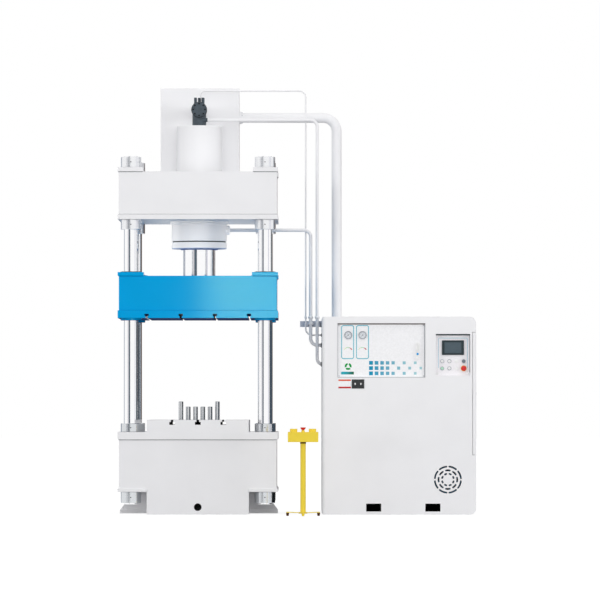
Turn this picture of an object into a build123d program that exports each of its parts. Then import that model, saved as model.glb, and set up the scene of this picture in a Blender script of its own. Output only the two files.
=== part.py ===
"""Four-column hydraulic press with its power cabinet and two-hand control stand.

Millimetres, +X right, +Y to the back, +Z up. The origin is on the floor, on the press axis.
"""
import os
from math import asin, cos, degrees, radians, sin

from build123d import *

# Clearances
RUN_FIT = 0.05           # radial, rods and shafts in their guides
SEAT_FIT = 0.02          # radial, turned seats inside one assembly
FREE_GAP = 0.5           # between curved faces of pieces that move past each other
COL_CLEAR = 1.5          # radial, columns through the welded frames

# Columns and their round nuts
COL_DIA = 125.0
COL_CHAMFER = 3.0
NUT_DIA = 180.0
NUT_CHAMFER = 3.0
CROWN_TOP_NUT_H = 95.0
CROWN_LOW_NUT_H = 89.0
BASE_TOP_NUT_H = 75.0
BASE_LOW_NUT_H = 99.0
NUT_LOCK_DIA = 12.0
NUT_LOCK_DEPTH = 10.0
COL_OUT_TOP = 7.0        # thread standing out of the top nuts
COL_OUT_LOW = 12.0

# Welded frames of the press, all square in plan
PLATE_W = 1410.0
COL_IN = 115.0           # column axis in from the plates' edges
WALL = 30.0              # side walls and ribs of the weldments
TUBE_WALL = 32.0         # tubes welded round the columns
BASE_LIP = 11.5          # top and lip plates stand proud of the walls
FOOT_H = 199.0
FOOT_BODY_GAP = 51.0     # lower body to the nuts beside it
LIP_T = 25.0
BASE_BOX_H = 435.0
BED_T = 66.0
FLOOR_T = 30.0
BED_WINDOW_MARGIN = 25.0
CABLE_HOLE_DIA = 60.0
CABLE_HOLE_Z = 65.0

# Side feet with their gussets
FOOT_PLATE_IN = 3.0      # foot plate's end in from the lip plate's edge
FOOT_PLATE_D = 258.0
FOOT_PLATE_T = 31.0
GUSSET_TOP_IN = 129.0
GUSSET_T = 24.0
GUSSET_PITCH = 110.0
ANCHOR_DIA = 26.0
ANCHOR_IN = 65.0
ANCHOR_PITCH = 190.0

# Work table
TABLE_GAP = 52.0         # table to the nuts beside it
TABLE_H = 106.0
SLOT_PITCH = 225.0
SLOT_NECK_W = 22.0
SLOT_NECK_D = 18.0
SLOT_HEAD_W = 50.0
SLOT_HEAD_D = 25.0
SHORT_SLOT_END = 165.0   # the middle slot stops this far from the centre

# Ejector cushion
PIN_DIA = 38.0
PIN_PITCH = 65.0
PIN_COLS = 6
PIN_ROWS = 4
PIN_TALL = 163.0
PIN_SHORT = 117.0
CUSHION_T = 60.0
CUSHION_TOP_GAP = 19.0   # below the bed plate
EJ_OD = 220.0
EJ_BORE = 160.0
EJ_ROD = 100.0
EJ_HEAD_T = 50.0
EJ_CAP_T = 40.0
EJ_STROKE = 165.0
EJ_STOP = 6.0            # spare travel at both ends

# Slide
SLIDE_SHUT_Z = 896.0     # slide face above the table at rest
SLIDE_FLANGE_T = 67.0
SLIDE_LIP = 10.5
SLIDE_BOX_H = 305.0
SLIDE_TOP_T = 40.0
SLIDE_PAD_W = 229.0
SLIDE_PAD_T = 32.0
SLIDE_SLOT_PITCH = 300.0
SLIDE_SLOT_MARGIN = 25.0  # slot to the bush flange beside it
SLIDE_NECK_W = 18.0
SLIDE_NECK_D = 17.0
SLIDE_HEAD_W = 37.0
SLIDE_HEAD_D = 20.0
BUSH_OD = 160.0
BUSH_FLANGE_DIA = 184.0
BUSH_FLANGE_T = 20.0

# Crown
CROWN_FACE = 1872.0      # crown underside above the bed plate
CROWN_FLANGE_T = 42.0
CROWN_LIP = 8.5
CROWN_BOX_H = 378.0
CROWN_TOP_T = 40.0
CROWN_PAD_W = 220.0
CROWN_PAD_T = 37.0

# Main cylinder
CYL_OD = 404.0
CYL_BORE = 320.0
CYL_LOW_OD = 489.0
CYL_LOW_H = 177.0
CYL_RING_OD = 527.0
CYL_RING_T = 22.0
CYL_TOP_H = 432.0        # above the crown
CYL_HEAD_T = 60.0
GLAND_H = 67.0
GLAND_SPIGOT_H = 50.0
GLAND_NECK_OD = 470.0
GLAND_GROOVE = 9.0
ROD_DIA = 285.0
ROD_SEAT = 20.0
PISTON_H = 150.0
PISTON_TOP_GAP = 196.0   # free travel above the piston at rest
PORT_BOSS_DIA = 81.0
PORT_BOSS_L = 29.0
PORT_Z_DOWN = 75.0       # port below the crown
PORT_BORE = 20.0
HEAD_PORT_DIA = 80.0

# Prefill valve on the cylinder
VALVE_OD = 124.0
VALVE_H = 170.0
VALVE_AXIS_UP = 145.0    # cross bore above the cylinder top
VALVE_FLANGE_DIA = 136.0
VALVE_FLANGE_T = 20.0
VALVE_FRONT = 92.0
VALVE_BACK = 92.0
COVER_DIA = 134.0
COVER_T = 17.0
COVER_BOLTS = 8
COVER_BOLT_R = 53.0
BOLT_HEAD_DIA = 15.0
BOLT_HEAD_H = 9.0
VALVE_TOP_W = 93.0
VALVE_TOP_D = 84.0
VALVE_TOP_H = 27.0
PRONG_DIA = 25.0
PRONG_H = 59.0
GLAND_BOLTS = 12
GLAND_BOLT_DIA = 36.0
GLAND_BOLT_H = 20.0
GLAND_BOLT_R = 210.0
GLAND_BOLT_SUNK = 22.0   # depth of the counterbores

# Filling tank behind the cylinder
TANK_W = 706.0
TANK_D = 370.0
TANK_H = 790.0
TANK_BACK_IN = 5.0       # in from the crown's rear edge
TANK_T = 8.0
TANK_EDGE_R = 6.0
NECK_DIA = 102.0
TANK_FLANGE_DIA = 112.0
TANK_FLANGE_T = 21.0
TANK_PORT_UP = 533.0     # return flange above the crown
TANK_PORT_IN = 230.0     # port in from the tank's rear

# Pipes
RETURN_DIA = 88.9
RETURN_WALL = 5.0
RETURN_IN = 137.0        # into the cabinet from its left side
RETURN_R = 122.0
VALVE_PIPE_DIA = 28.0
VALVE_PIPE_AWAY = 40.0   # upright run from the cabinet's side
VALVE_PIPE_Y = -40.0
VALVE_PIPE_UP = 55.0     # above the cylinder top
VALVE_PIPE_R = 62.0
VALVE_PIPE_DOWN = 414.0  # wall hole below the cabinet top
VALVE_PIPE_IN_R = 50.0
MAIN_PIPE_DIA = 30.0
MAIN_PIPE_AWAY = 98.0
MAIN_PIPE_R = 60.0
MAIN_PIPE_DOWN = 243.0
PILOT_DIA = 14.0
PILOT_AWAY = 142.0
PILOT_Y = 30.0
PILOT_START_X = 13.0
PILOT_TOP_UP = 318.0     # above the cylinder top
PILOT_START_R = 36.0
PILOT_R = 58.0
PILOT_DOWN = 153.0
PIPE_WALL = 3.0
UNION_UP = 4.0           # upper unions above the cabinet top
UNION_H = 24.0
UNION_GROW = 8.0
PILOT_UNION_GROW = 4.0
LOW_UNION_DOWN = 53.0
BRACKET_L = 192.0
BRACKET_DOWN = 80.0      # underside below the cabinet top
BRACKET_H = 53.0
BRACKET_T = 8.0
BRACKET_Y = 54.0
SADDLE_H = 34.0
SADDLE_MARGIN = 9.0
BRACKET_BACK = 60.0      # wall plate behind and before the bar
BRACKET_AHEAD = 40.0
SPIGOT_L = 12.0

# Power cabinet
CAB_GAP = 387.0          # crown to cabinet
CAB_W = 1355.0
CAB_H = 1739.0
CAB_AHEAD = 15.0         # front ahead of the press
CAB_REAR_GAP = 110.0     # back behind the return pipe
CAB_T = 4.0
CAB_R_TOP_RIGHT = 65.0
CAB_R_LOW_RIGHT = 55.0
CAB_R_LEFT = 14.0
CAB_EDGE_R = 34.0        # upright front left edge
CAB_FLOOR_Z = 104.0
FORK_W = 132.0
FORK_H = 69.0
FORK_Z = 27.0
FORK_PITCH = 520.0
FORK_MID_RIGHT = 36.0    # pockets right of the cabinet's middle
FORK_WALL = 4.0
HOLE_GROW = 8.0          # wall holes wider than their pipes
COLLAR_DIA = 122.0
COLLAR_H = 12.0

# Recesses in the cabinet front
PANEL_IN = 136.6         # from the cabinet's left side
PANEL_DOWN = 58.5        # below the cabinet top
PANEL_TO_OP = 93.2       # between the two recesses
PANEL_H = 477.0
PANEL_DEPTH = 30.0
OP_IN = 52.2             # from the cabinet's right side
OP_DOWN = 152.5
OP_W = 302.0
OP_H = 368.0
OP_DEPTH = 60.0
SHEET_T = 3.0
TRAY_T = 3.0
PLATE_GAP = 1.0

# Gauges
GAUGE_DIA = 70.0
GAUGE_RIM = 7.0
GAUGE_H = 12.0
GAUGE_X = 94.0           # first gauge from the recess edge
GAUGE_PITCH = 126.0
GAUGE_DOWN = 104.0       # below the recess top
NEEDLE_HUB = 12.0
NEEDLE_L = 22.0
NEEDLE_W = 2.6
NEEDLE_T = 2.0
NEEDLE_PIN = 4.0
NEEDLE_GAP = 2.0

# Level sight
LEVEL_IN = 67.0          # from the recess's right edge
LEVEL_W = 36.0
LEVEL_H = 152.0
LEVEL_Z_DOWN = 168.0
LEVEL_T = 18.0
LEVEL_GLASS = 14.0

# Touch screen and operator controls
SCREEN_X = 54.5
SCREEN_W = 193.0
SCREEN_H = 129.0
SCREEN_DOWN = 55.0
SCREEN_T = 10.0
SCREEN_RIM = 22.0
CTRL_X = 57.0
CTRL_PITCH = 63.0
CTRL_TOP_DOWN = 239.0
CTRL_RING_DIA = 34.0
CTRL_RING_H = 5.0
CAP_DIA = 25.0
CAP_OUT = 5.0
CAP_STEM = 12.0
CAP_STEM_L = 22.0
CAP_TRAVEL = 4.0
LAMP_OUT = 4.0
KNOB_DIA = 27.0
KNOB_H = 8.0
KNOB_BAR_W = 8.0
KNOB_BAR_OUT = 12.0
STOP_DIA = 44.0
STOP_COLLAR = 52.0
STOP_STEM = 24.0
STOP_OUT = 26.0
STOP_CAP_H = 14.0
STOP_TRAVEL = 6.0

# Circuit breaker plate
BRK_RIGHT = 125.0        # right of the recess's left edge
BRK_W = 109.0
BRK_UNDER = 16.9         # top below the recess
BRK_H = 79.0
BRK_OUT = 6.0
BRK_IN = 34.0
BRK_PITCH = 50.0
TOGGLE_W = 11.0
TOGGLE_R = 15.0
TOGGLE_TAB_R = 24.0
TOGGLE_TAB_T = 7.0
TOGGLE_PIN = 5.0
TOGGLE_PIN_L = 4.0

# Fan grille in the cabinet front
GRILLE_IN = 249.5        # from the cabinet's right side
GRILLE_Z = 306.8
GRILLE_RINGS = ((115.0, 19.5), (82.0, 16.8), (52.0, 15.0))   # radius, half angle of a slot
GRILLE_SLOTS = 8
GRILLE_SLOT_W = 15.0

# Side door, which wraps a little way onto the front
DOOR_Z0 = 522.0
DOOR_DOWN = 136.0        # top below the cabinet top
DOOR_WRAP = 33.0
DOOR_T = 16.0
DOOR_SHEET = 3.0
DOOR_GAP = 3.0
DOOR_REAR_IN = 180.0     # from the cabinet's back
DOOR_EDGE_R = 12.0
HINGE_R = 6.0
HINGE_PIN_R = 3.0
HINGE_OUT = 7.0
HINGE_LEAF = 34.0
HINGE_LEAF_T = 3.0
HINGE_H = 90.0
HINGE_IN = 130.0         # hinge middle from the door's ends
HINGE_STEP = 0.3
DOOR_LOCK_DIA = 26.0
DOOR_LOCK_OUT = 3.0
DOOR_LOCK_BACK = 70.0    # behind the cabinet front
DOOR_LOCK_SLOT_L = 16.0
DOOR_LOCK_SLOT_W = 3.0

# Oil tank, pump set, valves and control gear inside the cabinet
OIL_SIDE_GAP = 20.0      # to the cabinet's left side
OIL_RIGHT_ROOM = 485.0   # beside the tank for the pump set
OIL_FRONT_GAP = 160.0
OIL_REAR_GAP = 50.0
OIL_TOP_ROOM = 595.0     # above the lid
OIL_T = 5.0
OIL_LID_T = 10.0
OIL_LID_OUT = 8.0
BREATHER_DIA = 70.0
BREATHER_H = 60.0
BREATHER_IN = 140.0
MOTOR_DIA = 232.0
MOTOR_FIN_H = 12.0
MOTOR_FIN_T = 6.0
MOTOR_FINS = 20
MOTOR_FRONT_GAP = 120.0  # behind the cabinet front
MOTOR_L = 360.0
COWL_L = 90.0
COWL_T = 3.0
MOTOR_FLANGE_DIA = 250.0
MOTOR_FLANGE_T = 18.0
MOTOR_FOOT_W = 200.0
MOTOR_FOOT_L = 60.0
MOTOR_FOOT_FRONT = 60.0  # foot's middle behind the motor's front
MOTOR_FOOT_REAR = 80.0
MOTOR_FOOT_LAP = 20.0    # feet run up into the body
FIN_END_GAP = 10.0
FIN_LAP = 1.0
COWL_LAP = 12.0
SHAFT_DIA = 38.0
FAN_BLADES = 8
FAN_DIA = 222.0
FAN_HUB = 60.0
FAN_W = 26.0
FAN_BLADE_T = 4.0
FAN_BLADE_LAP = 4.0
FAN_GAP = 20.0           # fan to the motor's front
BELL_L = 110.0
BELL_WALL = 12.0
COUPLING_DIA = 90.0
COUPLING_L = 60.0
COUPLING_GAP = 20.0      # motor flange to the hub
COUPLING_CLEAR = 24.0
PUMP_DIA = 150.0
PUMP_L = 170.0
PUMP_COLLAR_GROW = 30.0
PUMP_COLLAR_Y0 = 40.0
PUMP_COLLAR_Y1 = 70.0
PUMP_PORT_W = 70.0
PUMP_PORT_Y0 = 90.0
PUMP_PORT_Y1 = 150.0
PUMP_PORT_UP = 30.0
BELL_STEP = 30.0         # bell slimmer than the flange
BELL_RIM = 14.0
MANIFOLD_IN = 68.0       # from the cabinet's left side
MANIFOLD_W = 150.0
MANIFOLD_D = 190.0
MANIFOLD_TOP_MARGIN = 40.0
COIL_W = 46.0
COIL_L = 120.0
COIL_COUNT = 3
COIL_BODY_W = 60.0
COIL_BODY_H = 64.0
COIL_BODY_IN = 40.0      # from the manifold's faces
GEAR_PLATE_T = 5.0
GEAR_PLATE_W = 760.0
GEAR_PLATE_H = 520.0
GEAR_ROWS = 2
GEAR_BLOCKS = 7
GEAR_BLOCK_W = 62.0
GEAR_BLOCK_H = 96.0
GEAR_BLOCK_T = 72.0
GEAR_DOWN = 20.0         # plate below the tank's lid
GEAR_RAIL_H = 34.0
GEAR_RAIL_T = 8.0
GEAR_RAIL_IN = 10.0

# Two-hand control stand
STAND_AWAY = 167.0       # left of the cabinet's side
STAND_AHEAD = 595.0      # ahead of the press
POST_DIA = 48.3
POST_WALL = 3.0
STAND_BOX_W = 265.0
STAND_BOX_D = 120.0
STAND_BOX_H = 88.0
STAND_BOX_Z = 640.0
STAND_BOX_R = 3.0
STAND_COLLAR_DIA = 52.0
STAND_COLLAR_H = 13.0
LEG_REACH = 146.0
LEG_W = 24.0
LEG_T = 7.0
LEG_Z = 20.0
LEG_RISE = 9.0
STAND_HUB_DIA = 72.0
STAND_FOOT_TOP = 27.0
STAND_FOOT_LOW = 19.0
GUARD_DIA = 64.0
GUARD_H = 28.0
GUARD_WALL = 4.0
PALM_X = 82.0
PALM_DIA = 50.0
PALM_H = 18.0
PALM_STEM = 20.0
PALM_STEM_L = 30.0
PALM_TRAVEL = 6.0
NECK_STOP_DIA = 30.0
NECK_STOP_H = 14.0
STAND_STOP_DIA = 50.0
STAND_STOP_H = 20.0
STAND_STOP_STEM = 18.0

# Heights that follow from the stack
BED_Z = FOOT_H + LIP_T + BASE_BOX_H + BED_T
TABLE_Z = BED_Z + TABLE_H
SLIDE_Z = TABLE_Z + SLIDE_SHUT_Z
SLIDE_TOP_Z = SLIDE_Z + SLIDE_FLANGE_T + SLIDE_BOX_H
CROWN_Z = BED_Z + CROWN_FACE
CROWN_TOP_Z = CROWN_Z + CROWN_FLANGE_T + CROWN_BOX_H
CROWN_PAD_Z = CROWN_TOP_Z + CROWN_PAD_T
CYL_TOP_Z = CROWN_TOP_Z + CYL_TOP_H
CYL_LOW_Z = CROWN_Z - CYL_LOW_H
PISTON_TOP_Z = CYL_TOP_Z - CYL_HEAD_T - PISTON_TOP_GAP
OIL_TOP = CAB_H - OIL_TOP_ROOM
UNION_Z = CAB_H + UNION_UP
LOW_UNION_Z = CAB_H - LOW_UNION_DOWN
BRACKET_Z0 = CAB_H - BRACKET_DOWN
VALVE_PIPE_IN_Z = CAB_H - VALVE_PIPE_DOWN
MAIN_PIPE_IN_Z = CAB_H - MAIN_PIPE_DOWN
PILOT_IN_Z = CAB_H - PILOT_DOWN
PANEL_TOP = CAB_H - PANEL_DOWN
PANEL_Z0 = PANEL_TOP - PANEL_H
OP_TOP = CAB_H - OP_DOWN
OP_Z0 = OP_TOP - OP_H
BRK_Z0 = PANEL_Z0 - BRK_UNDER - BRK_H
DOOR_H = CAB_H - DOOR_DOWN - DOOR_Z0
OIL_H = OIL_TOP - OIL_LID_T - CAB_FLOOR_Z

# Widths and depths that follow from the plates and from the cabinet's place
COL_R = COL_DIA / 2
COL_AT = PLATE_W / 2 - COL_IN
FOOT_BODY_W = 2 * COL_AT - NUT_DIA - 2 * FOOT_BODY_GAP
TABLE_W = 2 * COL_AT - NUT_DIA - 2 * TABLE_GAP
FOOT_PLATE_OUT = PLATE_W / 2 - FOOT_PLATE_IN
GUSSET_TOP_OUT = PLATE_W / 2 - GUSSET_TOP_IN
ANCHOR_X = PLATE_W / 2 - ANCHOR_IN
TANK_BACK = PLATE_W / 2 - TANK_BACK_IN
TANK_PORT_BACK = TANK_BACK - TANK_PORT_IN
CAB_X0 = PLATE_W / 2 + CAB_GAP
CAB_X1 = CAB_X0 + CAB_W
CAB_FRONT = -PLATE_W / 2 - CAB_AHEAD
CAB_BACK = TANK_PORT_BACK + CAB_REAR_GAP
CAB_D = CAB_BACK - CAB_FRONT
RETURN_X = CAB_X0 + RETURN_IN
VALVE_PIPE_X = CAB_X0 - VALVE_PIPE_AWAY
MAIN_PIPE_X = CAB_X0 - MAIN_PIPE_AWAY
PILOT_X = CAB_X0 - PILOT_AWAY
BRACKET_X0 = CAB_X0 - BRACKET_L
MANIFOLD_X0 = CAB_X0 + MANIFOLD_IN
FORK_MID_X = (CAB_X0 + CAB_X1) / 2 + FORK_MID_RIGHT
OP_X0 = CAB_X1 - OP_IN - OP_W
PANEL_X0 = CAB_X0 + PANEL_IN
PANEL_W = OP_X0 - PANEL_TO_OP - PANEL_X0
BRK_X0 = PANEL_X0 + BRK_RIGHT
GRILLE_X = CAB_X1 - GRILLE_IN
DOOR_REAR = CAB_BACK - DOOR_REAR_IN
OIL_X0 = CAB_X0 + OIL_SIDE_GAP
OIL_X1 = CAB_X1 - OIL_RIGHT_ROOM
OIL_Y0 = CAB_FRONT + OIL_FRONT_GAP
OIL_D = CAB_BACK - OIL_REAR_GAP - OIL_Y0
MOTOR_Y0 = CAB_FRONT + MOTOR_FRONT_GAP
STAND_X = CAB_X0 - STAND_AWAY
STAND_Y = -PLATE_W / 2 - STAND_AHEAD
PANEL_FACE = CAB_FRONT + PANEL_DEPTH
OP_FACE = CAB_FRONT + OP_DEPTH
VALVE_AXIS_Z = CYL_TOP_Z + VALVE_AXIS_UP
STAND_TOP = STAND_BOX_Z + STAND_BOX_H
CORNERS = {"front_left": (-1, -1), "front_right": (1, -1), "rear_left": (-1, 1), "rear_right": (1, 1)}


def block(x0, x1, y0, y1, z0, z1):
    """A block between two corners."""
    middle = Pos((x0 + x1) / 2, (y0 + y1) / 2, (z0 + z1) / 2)
    return middle * Box(x1 - x0, y1 - y0, z1 - z0)


def square(width, z0, z1):
    """A square block on the press axis."""
    return block(-width / 2, width / 2, -width / 2, width / 2, z0, z1)


def post(dia, z0, z1, x=0.0, y=0.0):
    """An upright cylinder."""
    return Pos(x, y, (z0 + z1) / 2) * Cylinder(dia / 2, z1 - z0)


def bar_x(dia, x0, x1, y=0.0, z=0.0):
    """A cylinder along X."""
    return Pos((x0 + x1) / 2, y, z) * Rot(0, 90, 0) * Cylinder(dia / 2, x1 - x0)


def bar_y(dia, y0, y1, x=0.0, z=0.0):
    """A cylinder along Y."""
    return Pos(x, (y0 + y1) / 2, z) * Rot(90, 0, 0) * Cylinder(dia / 2, y1 - y0)


def turned(points):
    """A body turned about Z from (radius, height) points."""
    return revolve(Plane.XZ * make_face(Polyline(*points, close=True)), Axis.Z)


def at_columns():
    """The four column places."""
    return [(sx * COL_AT, sy * COL_AT) for sx, sy in CORNERS.values()]


def on_circle(radius, count, start=0.0):
    """Even places on a circle, as (u, v, angle)."""
    step = 360.0 / count
    angles = [start + step * i for i in range(count)]
    return [(radius * cos(radians(a)), radius * sin(radians(a)), a) for a in angles]


def t_slot(y0, y1, neck_w, neck_d, head_w, head_d):
    """A T-slot running along Y with its mouth at z = 0, facing up."""
    neck = block(-neck_w / 2, neck_w / 2, y0, y1, -neck_d, 1.0)
    head = block(-head_w / 2, head_w / 2, y0, y1, -neck_d - head_d, -neck_d)
    return neck + head


def pin_places():
    """Every ejector pin as (x, y, tall)."""
    places = []
    for i in range(PIN_COLS):
        x = (i - (PIN_COLS - 1) / 2) * PIN_PITCH
        tall = i in (0, PIN_COLS - 1)
        places += [(x, (j - (PIN_ROWS - 1) / 2) * PIN_PITCH, tall) for j in range(PIN_ROWS)]
    return places


def pin_field(margin):
    """Half sizes of the pin field with a margin outside the pins."""
    half_x = (PIN_COLS - 1) / 2 * PIN_PITCH + PIN_DIA / 2 + margin
    half_y = (PIN_ROWS - 1) / 2 * PIN_PITCH + PIN_DIA / 2 + margin
    return half_x, half_y


def column_tubes(z0, z1):
    """Thick tubes round the columns inside a weldment."""
    dia = COL_DIA + 2 * (COL_CLEAR + TUBE_WALL)
    tubes = [post(dia, z0, z1, x, y) for x, y in at_columns()]
    return tubes[0] + tubes[1:]


def column_holes(z0, z1, clear=COL_CLEAR):
    """Holes for the columns."""
    holes = [post(COL_DIA + 2 * clear, z0, z1, x, y) for x, y in at_columns()]
    return holes[0] + holes[1:]


def cross_ribs(half, offset, z0, z1):
    """Four ribs, two each way, across a square weldment."""
    body = block(-half, half, offset - WALL / 2, offset + WALL / 2, z0, z1)
    body += block(-half, half, -offset - WALL / 2, -offset + WALL / 2, z0, z1)
    body += block(offset - WALL / 2, offset + WALL / 2, -half, half, z0, z1)
    return body + block(-offset - WALL / 2, -offset + WALL / 2, -half, half, z0, z1)


def side_foot(side):
    """One welded foot: plate, two slanted gussets."""
    inner = FOOT_BODY_W / 2
    plate = block(inner, FOOT_PLATE_OUT, -FOOT_PLATE_D / 2, FOOT_PLATE_D / 2, 0, FOOT_PLATE_T)
    outline = Polyline(
        (inner, FOOT_PLATE_T), (FOOT_PLATE_OUT, FOOT_PLATE_T), (GUSSET_TOP_OUT, FOOT_H), (inner, FOOT_H),
        close=True,
    )
    gusset = extrude(Plane.XZ * make_face(outline), GUSSET_T / 2, both=True)
    foot = plate + Pos(0, GUSSET_PITCH / 2, 0) * gusset + Pos(0, -GUSSET_PITCH / 2, 0) * gusset
    for y in (-ANCHOR_PITCH / 2, ANCHOR_PITCH / 2):
        foot -= post(ANCHOR_DIA, -1, FOOT_PLATE_T + 1, ANCHOR_X, y)
    return foot if side > 0 else mirror(foot, Plane.YZ)


def base_frame():
    """Welded base: narrow lower body, side ledges, upper box, bed plate and side feet."""
    box_w = PLATE_W - 2 * BASE_LIP
    half = box_w / 2
    lip_top = FOOT_H + LIP_T
    bed_low = BED_Z - BED_T
    body = block(-FOOT_BODY_W / 2, FOOT_BODY_W / 2, -half, half, 0, FOOT_H)
    body += square(box_w, FOOT_H, bed_low)
    ledge = block(FOOT_BODY_W / 2, PLATE_W / 2, -PLATE_W / 2, PLATE_W / 2, FOOT_H, lip_top)
    body += ledge + mirror(ledge, Plane.YZ)
    body += square(PLATE_W, bed_low, BED_Z)
    room = square(box_w - 2 * WALL, lip_top, bed_low)
    room -= column_tubes(lip_top, bed_low)
    rib_at = FOOT_BODY_W / 2 - WALL / 2
    room -= block(-rib_at - WALL / 2, -rib_at + WALL / 2, -half, half, lip_top, bed_low)
    room -= block(rib_at - WALL / 2, rib_at + WALL / 2, -half, half, lip_top, bed_low)
    low_half = FOOT_BODY_W / 2 - WALL
    room += block(-low_half, low_half, -half + WALL, half - WALL, FLOOR_T, lip_top)
    body -= room
    win_x, win_y = pin_field(BED_WINDOW_MARGIN)
    body -= block(-win_x, win_x, -win_y, win_y, bed_low - 1, BED_Z + 1)
    body -= column_holes(FOOT_H - 1, BED_Z + 1)
    body -= bar_y(CABLE_HOLE_DIA, -half - 1, half + 1, 0, CABLE_HOLE_Z)
    return body + side_foot(1) + side_foot(-1)


def work_table():
    """Bolster with T-slots and the field of ejector pin holes."""
    half = PLATE_W / 2 - BASE_LIP
    table = block(-TABLE_W / 2, TABLE_W / 2, -half, half, BED_Z, TABLE_Z)
    sizes = (SLOT_NECK_W, SLOT_NECK_D, SLOT_HEAD_W, SLOT_HEAD_D)
    through = Pos(0, 0, TABLE_Z) * t_slot(-half - 1, half + 1, *sizes)
    table -= Pos(SLOT_PITCH, 0, 0) * through
    table -= Pos(-SLOT_PITCH, 0, 0) * through
    table -= Pos(0, 0, TABLE_Z) * t_slot(-half - 1, -SHORT_SLOT_END, *sizes)
    table -= Pos(0, 0, TABLE_Z) * t_slot(SHORT_SLOT_END, half + 1, *sizes)
    holes = [post(PIN_DIA + 2 * FREE_GAP, BED_Z - 1, TABLE_Z + 1, x, y) for x, y, _ in pin_places()]
    return table - holes


def column(sx, sy):
    """One tie column with chamfered ends."""
    low = FOOT_H - BASE_LOW_NUT_H - COL_OUT_LOW
    top = CROWN_PAD_Z + CROWN_TOP_NUT_H + COL_OUT_TOP
    shaft = chamfer(Cylinder(COL_R, top - low).edges(), COL_CHAMFER)
    return Pos(sx * COL_AT, sy * COL_AT, (low + top) / 2) * shaft


def round_nut(z0, height, x, y):
    """Turned column nut with four lock screw sockets round it."""
    nut = chamfer(Cylinder(NUT_DIA / 2, height).edges(), NUT_CHAMFER)
    nut -= Cylinder(COL_R + SEAT_FIT, height + 1)
    for u, v, angle in on_circle(NUT_DIA / 2 - NUT_LOCK_DEPTH / 2, 4):
        nut -= Pos(u, v, 0) * Rot(0, 90, angle) * Cylinder(NUT_LOCK_DIA / 2, NUT_LOCK_DEPTH + 1)
    return Pos(x, y, z0 + height / 2) * nut


def nuts(levels):
    """Nuts on all four columns at the given (height of underside, nut height) levels."""
    return [round_nut(z, h, x, y) for z, h in levels for x, y in at_columns()]


def crown_nuts():
    """Nuts above and below the crown."""
    return nuts([(CROWN_PAD_Z, CROWN_TOP_NUT_H), (CROWN_Z - CROWN_LOW_NUT_H, CROWN_LOW_NUT_H)])


def base_nuts():
    """Nuts above and below the base."""
    return nuts([(BED_Z, BASE_TOP_NUT_H), (FOOT_H - BASE_LOW_NUT_H, BASE_LOW_NUT_H)])


def corner_pads(width, z0, thick):
    """Four raised pads flush with the flange plate's corners."""
    at = PLATE_W / 2 - width / 2
    pads = [Pos(sx * at, sy * at, z0 + thick / 2) * Box(width, width, thick) for sx, sy in CORNERS.values()]
    return pads[0] + pads[1:]


def crown_frame():
    """Welded crown: flange plate, box with column tubes and ribs, corner pads."""
    box_w = PLATE_W - 2 * CROWN_LIP
    low = CROWN_Z + CROWN_FLANGE_T
    high = CROWN_TOP_Z - CROWN_TOP_T
    body = square(PLATE_W, CROWN_Z, low) + square(box_w, low, CROWN_TOP_Z)
    body += corner_pads(CROWN_PAD_W, CROWN_TOP_Z, CROWN_PAD_T)
    room = square(box_w - 2 * WALL, low, high)
    room -= column_tubes(low, high)
    room -= post(CYL_OD + 4 * TUBE_WALL, low, high)
    room -= cross_ribs(box_w / 2, CYL_OD / 2 + TUBE_WALL, low, high)
    body -= room
    body -= column_holes(CROWN_Z - 1, CROWN_PAD_Z + 1)
    return body - post(CYL_OD + 2 * SEAT_FIT, CROWN_Z - 1, CROWN_TOP_Z + 1)


def slide_slots():
    """T-slots across the slide face, as many as fit between the bush flanges."""
    half = PLATE_W / 2 + 1
    slot = t_slot(-half, half, SLIDE_NECK_W, SLIDE_NECK_D, SLIDE_HEAD_W, SLIDE_HEAD_D)
    down = Pos(0, 0, SLIDE_Z) * Rot(0, 180, 0) * slot
    reach = COL_AT - (BUSH_FLANGE_DIA + SLIDE_HEAD_W) / 2 - SLIDE_SLOT_MARGIN
    pairs = max(1, int(reach / SLIDE_SLOT_PITCH + 0.5))
    places = [(i + 0.5) * SLIDE_SLOT_PITCH for i in range(-pairs, pairs)]
    return [Pos(x, 0, 0) * down for x in places]


def slide_beam():
    """Welded moving slide with its T-slotted flange and column tubes."""
    box_w = PLATE_W - 2 * SLIDE_LIP
    low = SLIDE_Z + SLIDE_FLANGE_T
    high = SLIDE_TOP_Z - SLIDE_TOP_T
    body = square(PLATE_W, SLIDE_Z, low) + square(box_w, low, SLIDE_TOP_Z)
    body += corner_pads(SLIDE_PAD_W, SLIDE_TOP_Z, SLIDE_PAD_T)
    room = square(box_w - 2 * WALL, low, high)
    tubes = [post(BUSH_OD + 2 * TUBE_WALL, low, high, x, y) for x, y in at_columns()]
    room -= tubes[0] + tubes[1:]
    room -= post(ROD_DIA, low, high)
    room -= cross_ribs(box_w / 2, ROD_DIA / 2 - WALL, low, high)
    body -= room
    bores = [post(BUSH_OD, SLIDE_Z - 1, SLIDE_TOP_Z + SLIDE_PAD_T + 1, x, y) for x, y in at_columns()]
    body -= bores
    body -= slide_slots()
    return body - post(ROD_DIA + 2 * SEAT_FIT, SLIDE_TOP_Z - ROD_SEAT, SLIDE_TOP_Z + 1)


def slide_bushes():
    """Flanged bronze bushes that guide the slide on the columns."""
    bore = COL_R + RUN_FIT
    outer = BUSH_OD / 2 - SEAT_FIT
    flange = BUSH_FLANGE_DIA / 2
    top = SLIDE_TOP_Z + SLIDE_PAD_T
    low = SLIDE_Z - BUSH_FLANGE_T
    lead = 3.0
    points = [(bore + lead, low), (flange - lead, low), (flange, low + lead), (flange, SLIDE_Z),
              (outer, SLIDE_Z), (outer, top), (bore + lead, top), (bore, top - lead), (bore, low + lead)]
    bush = turned(points)
    return [Pos(x, y, 0) * bush for x, y in at_columns()]


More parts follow.
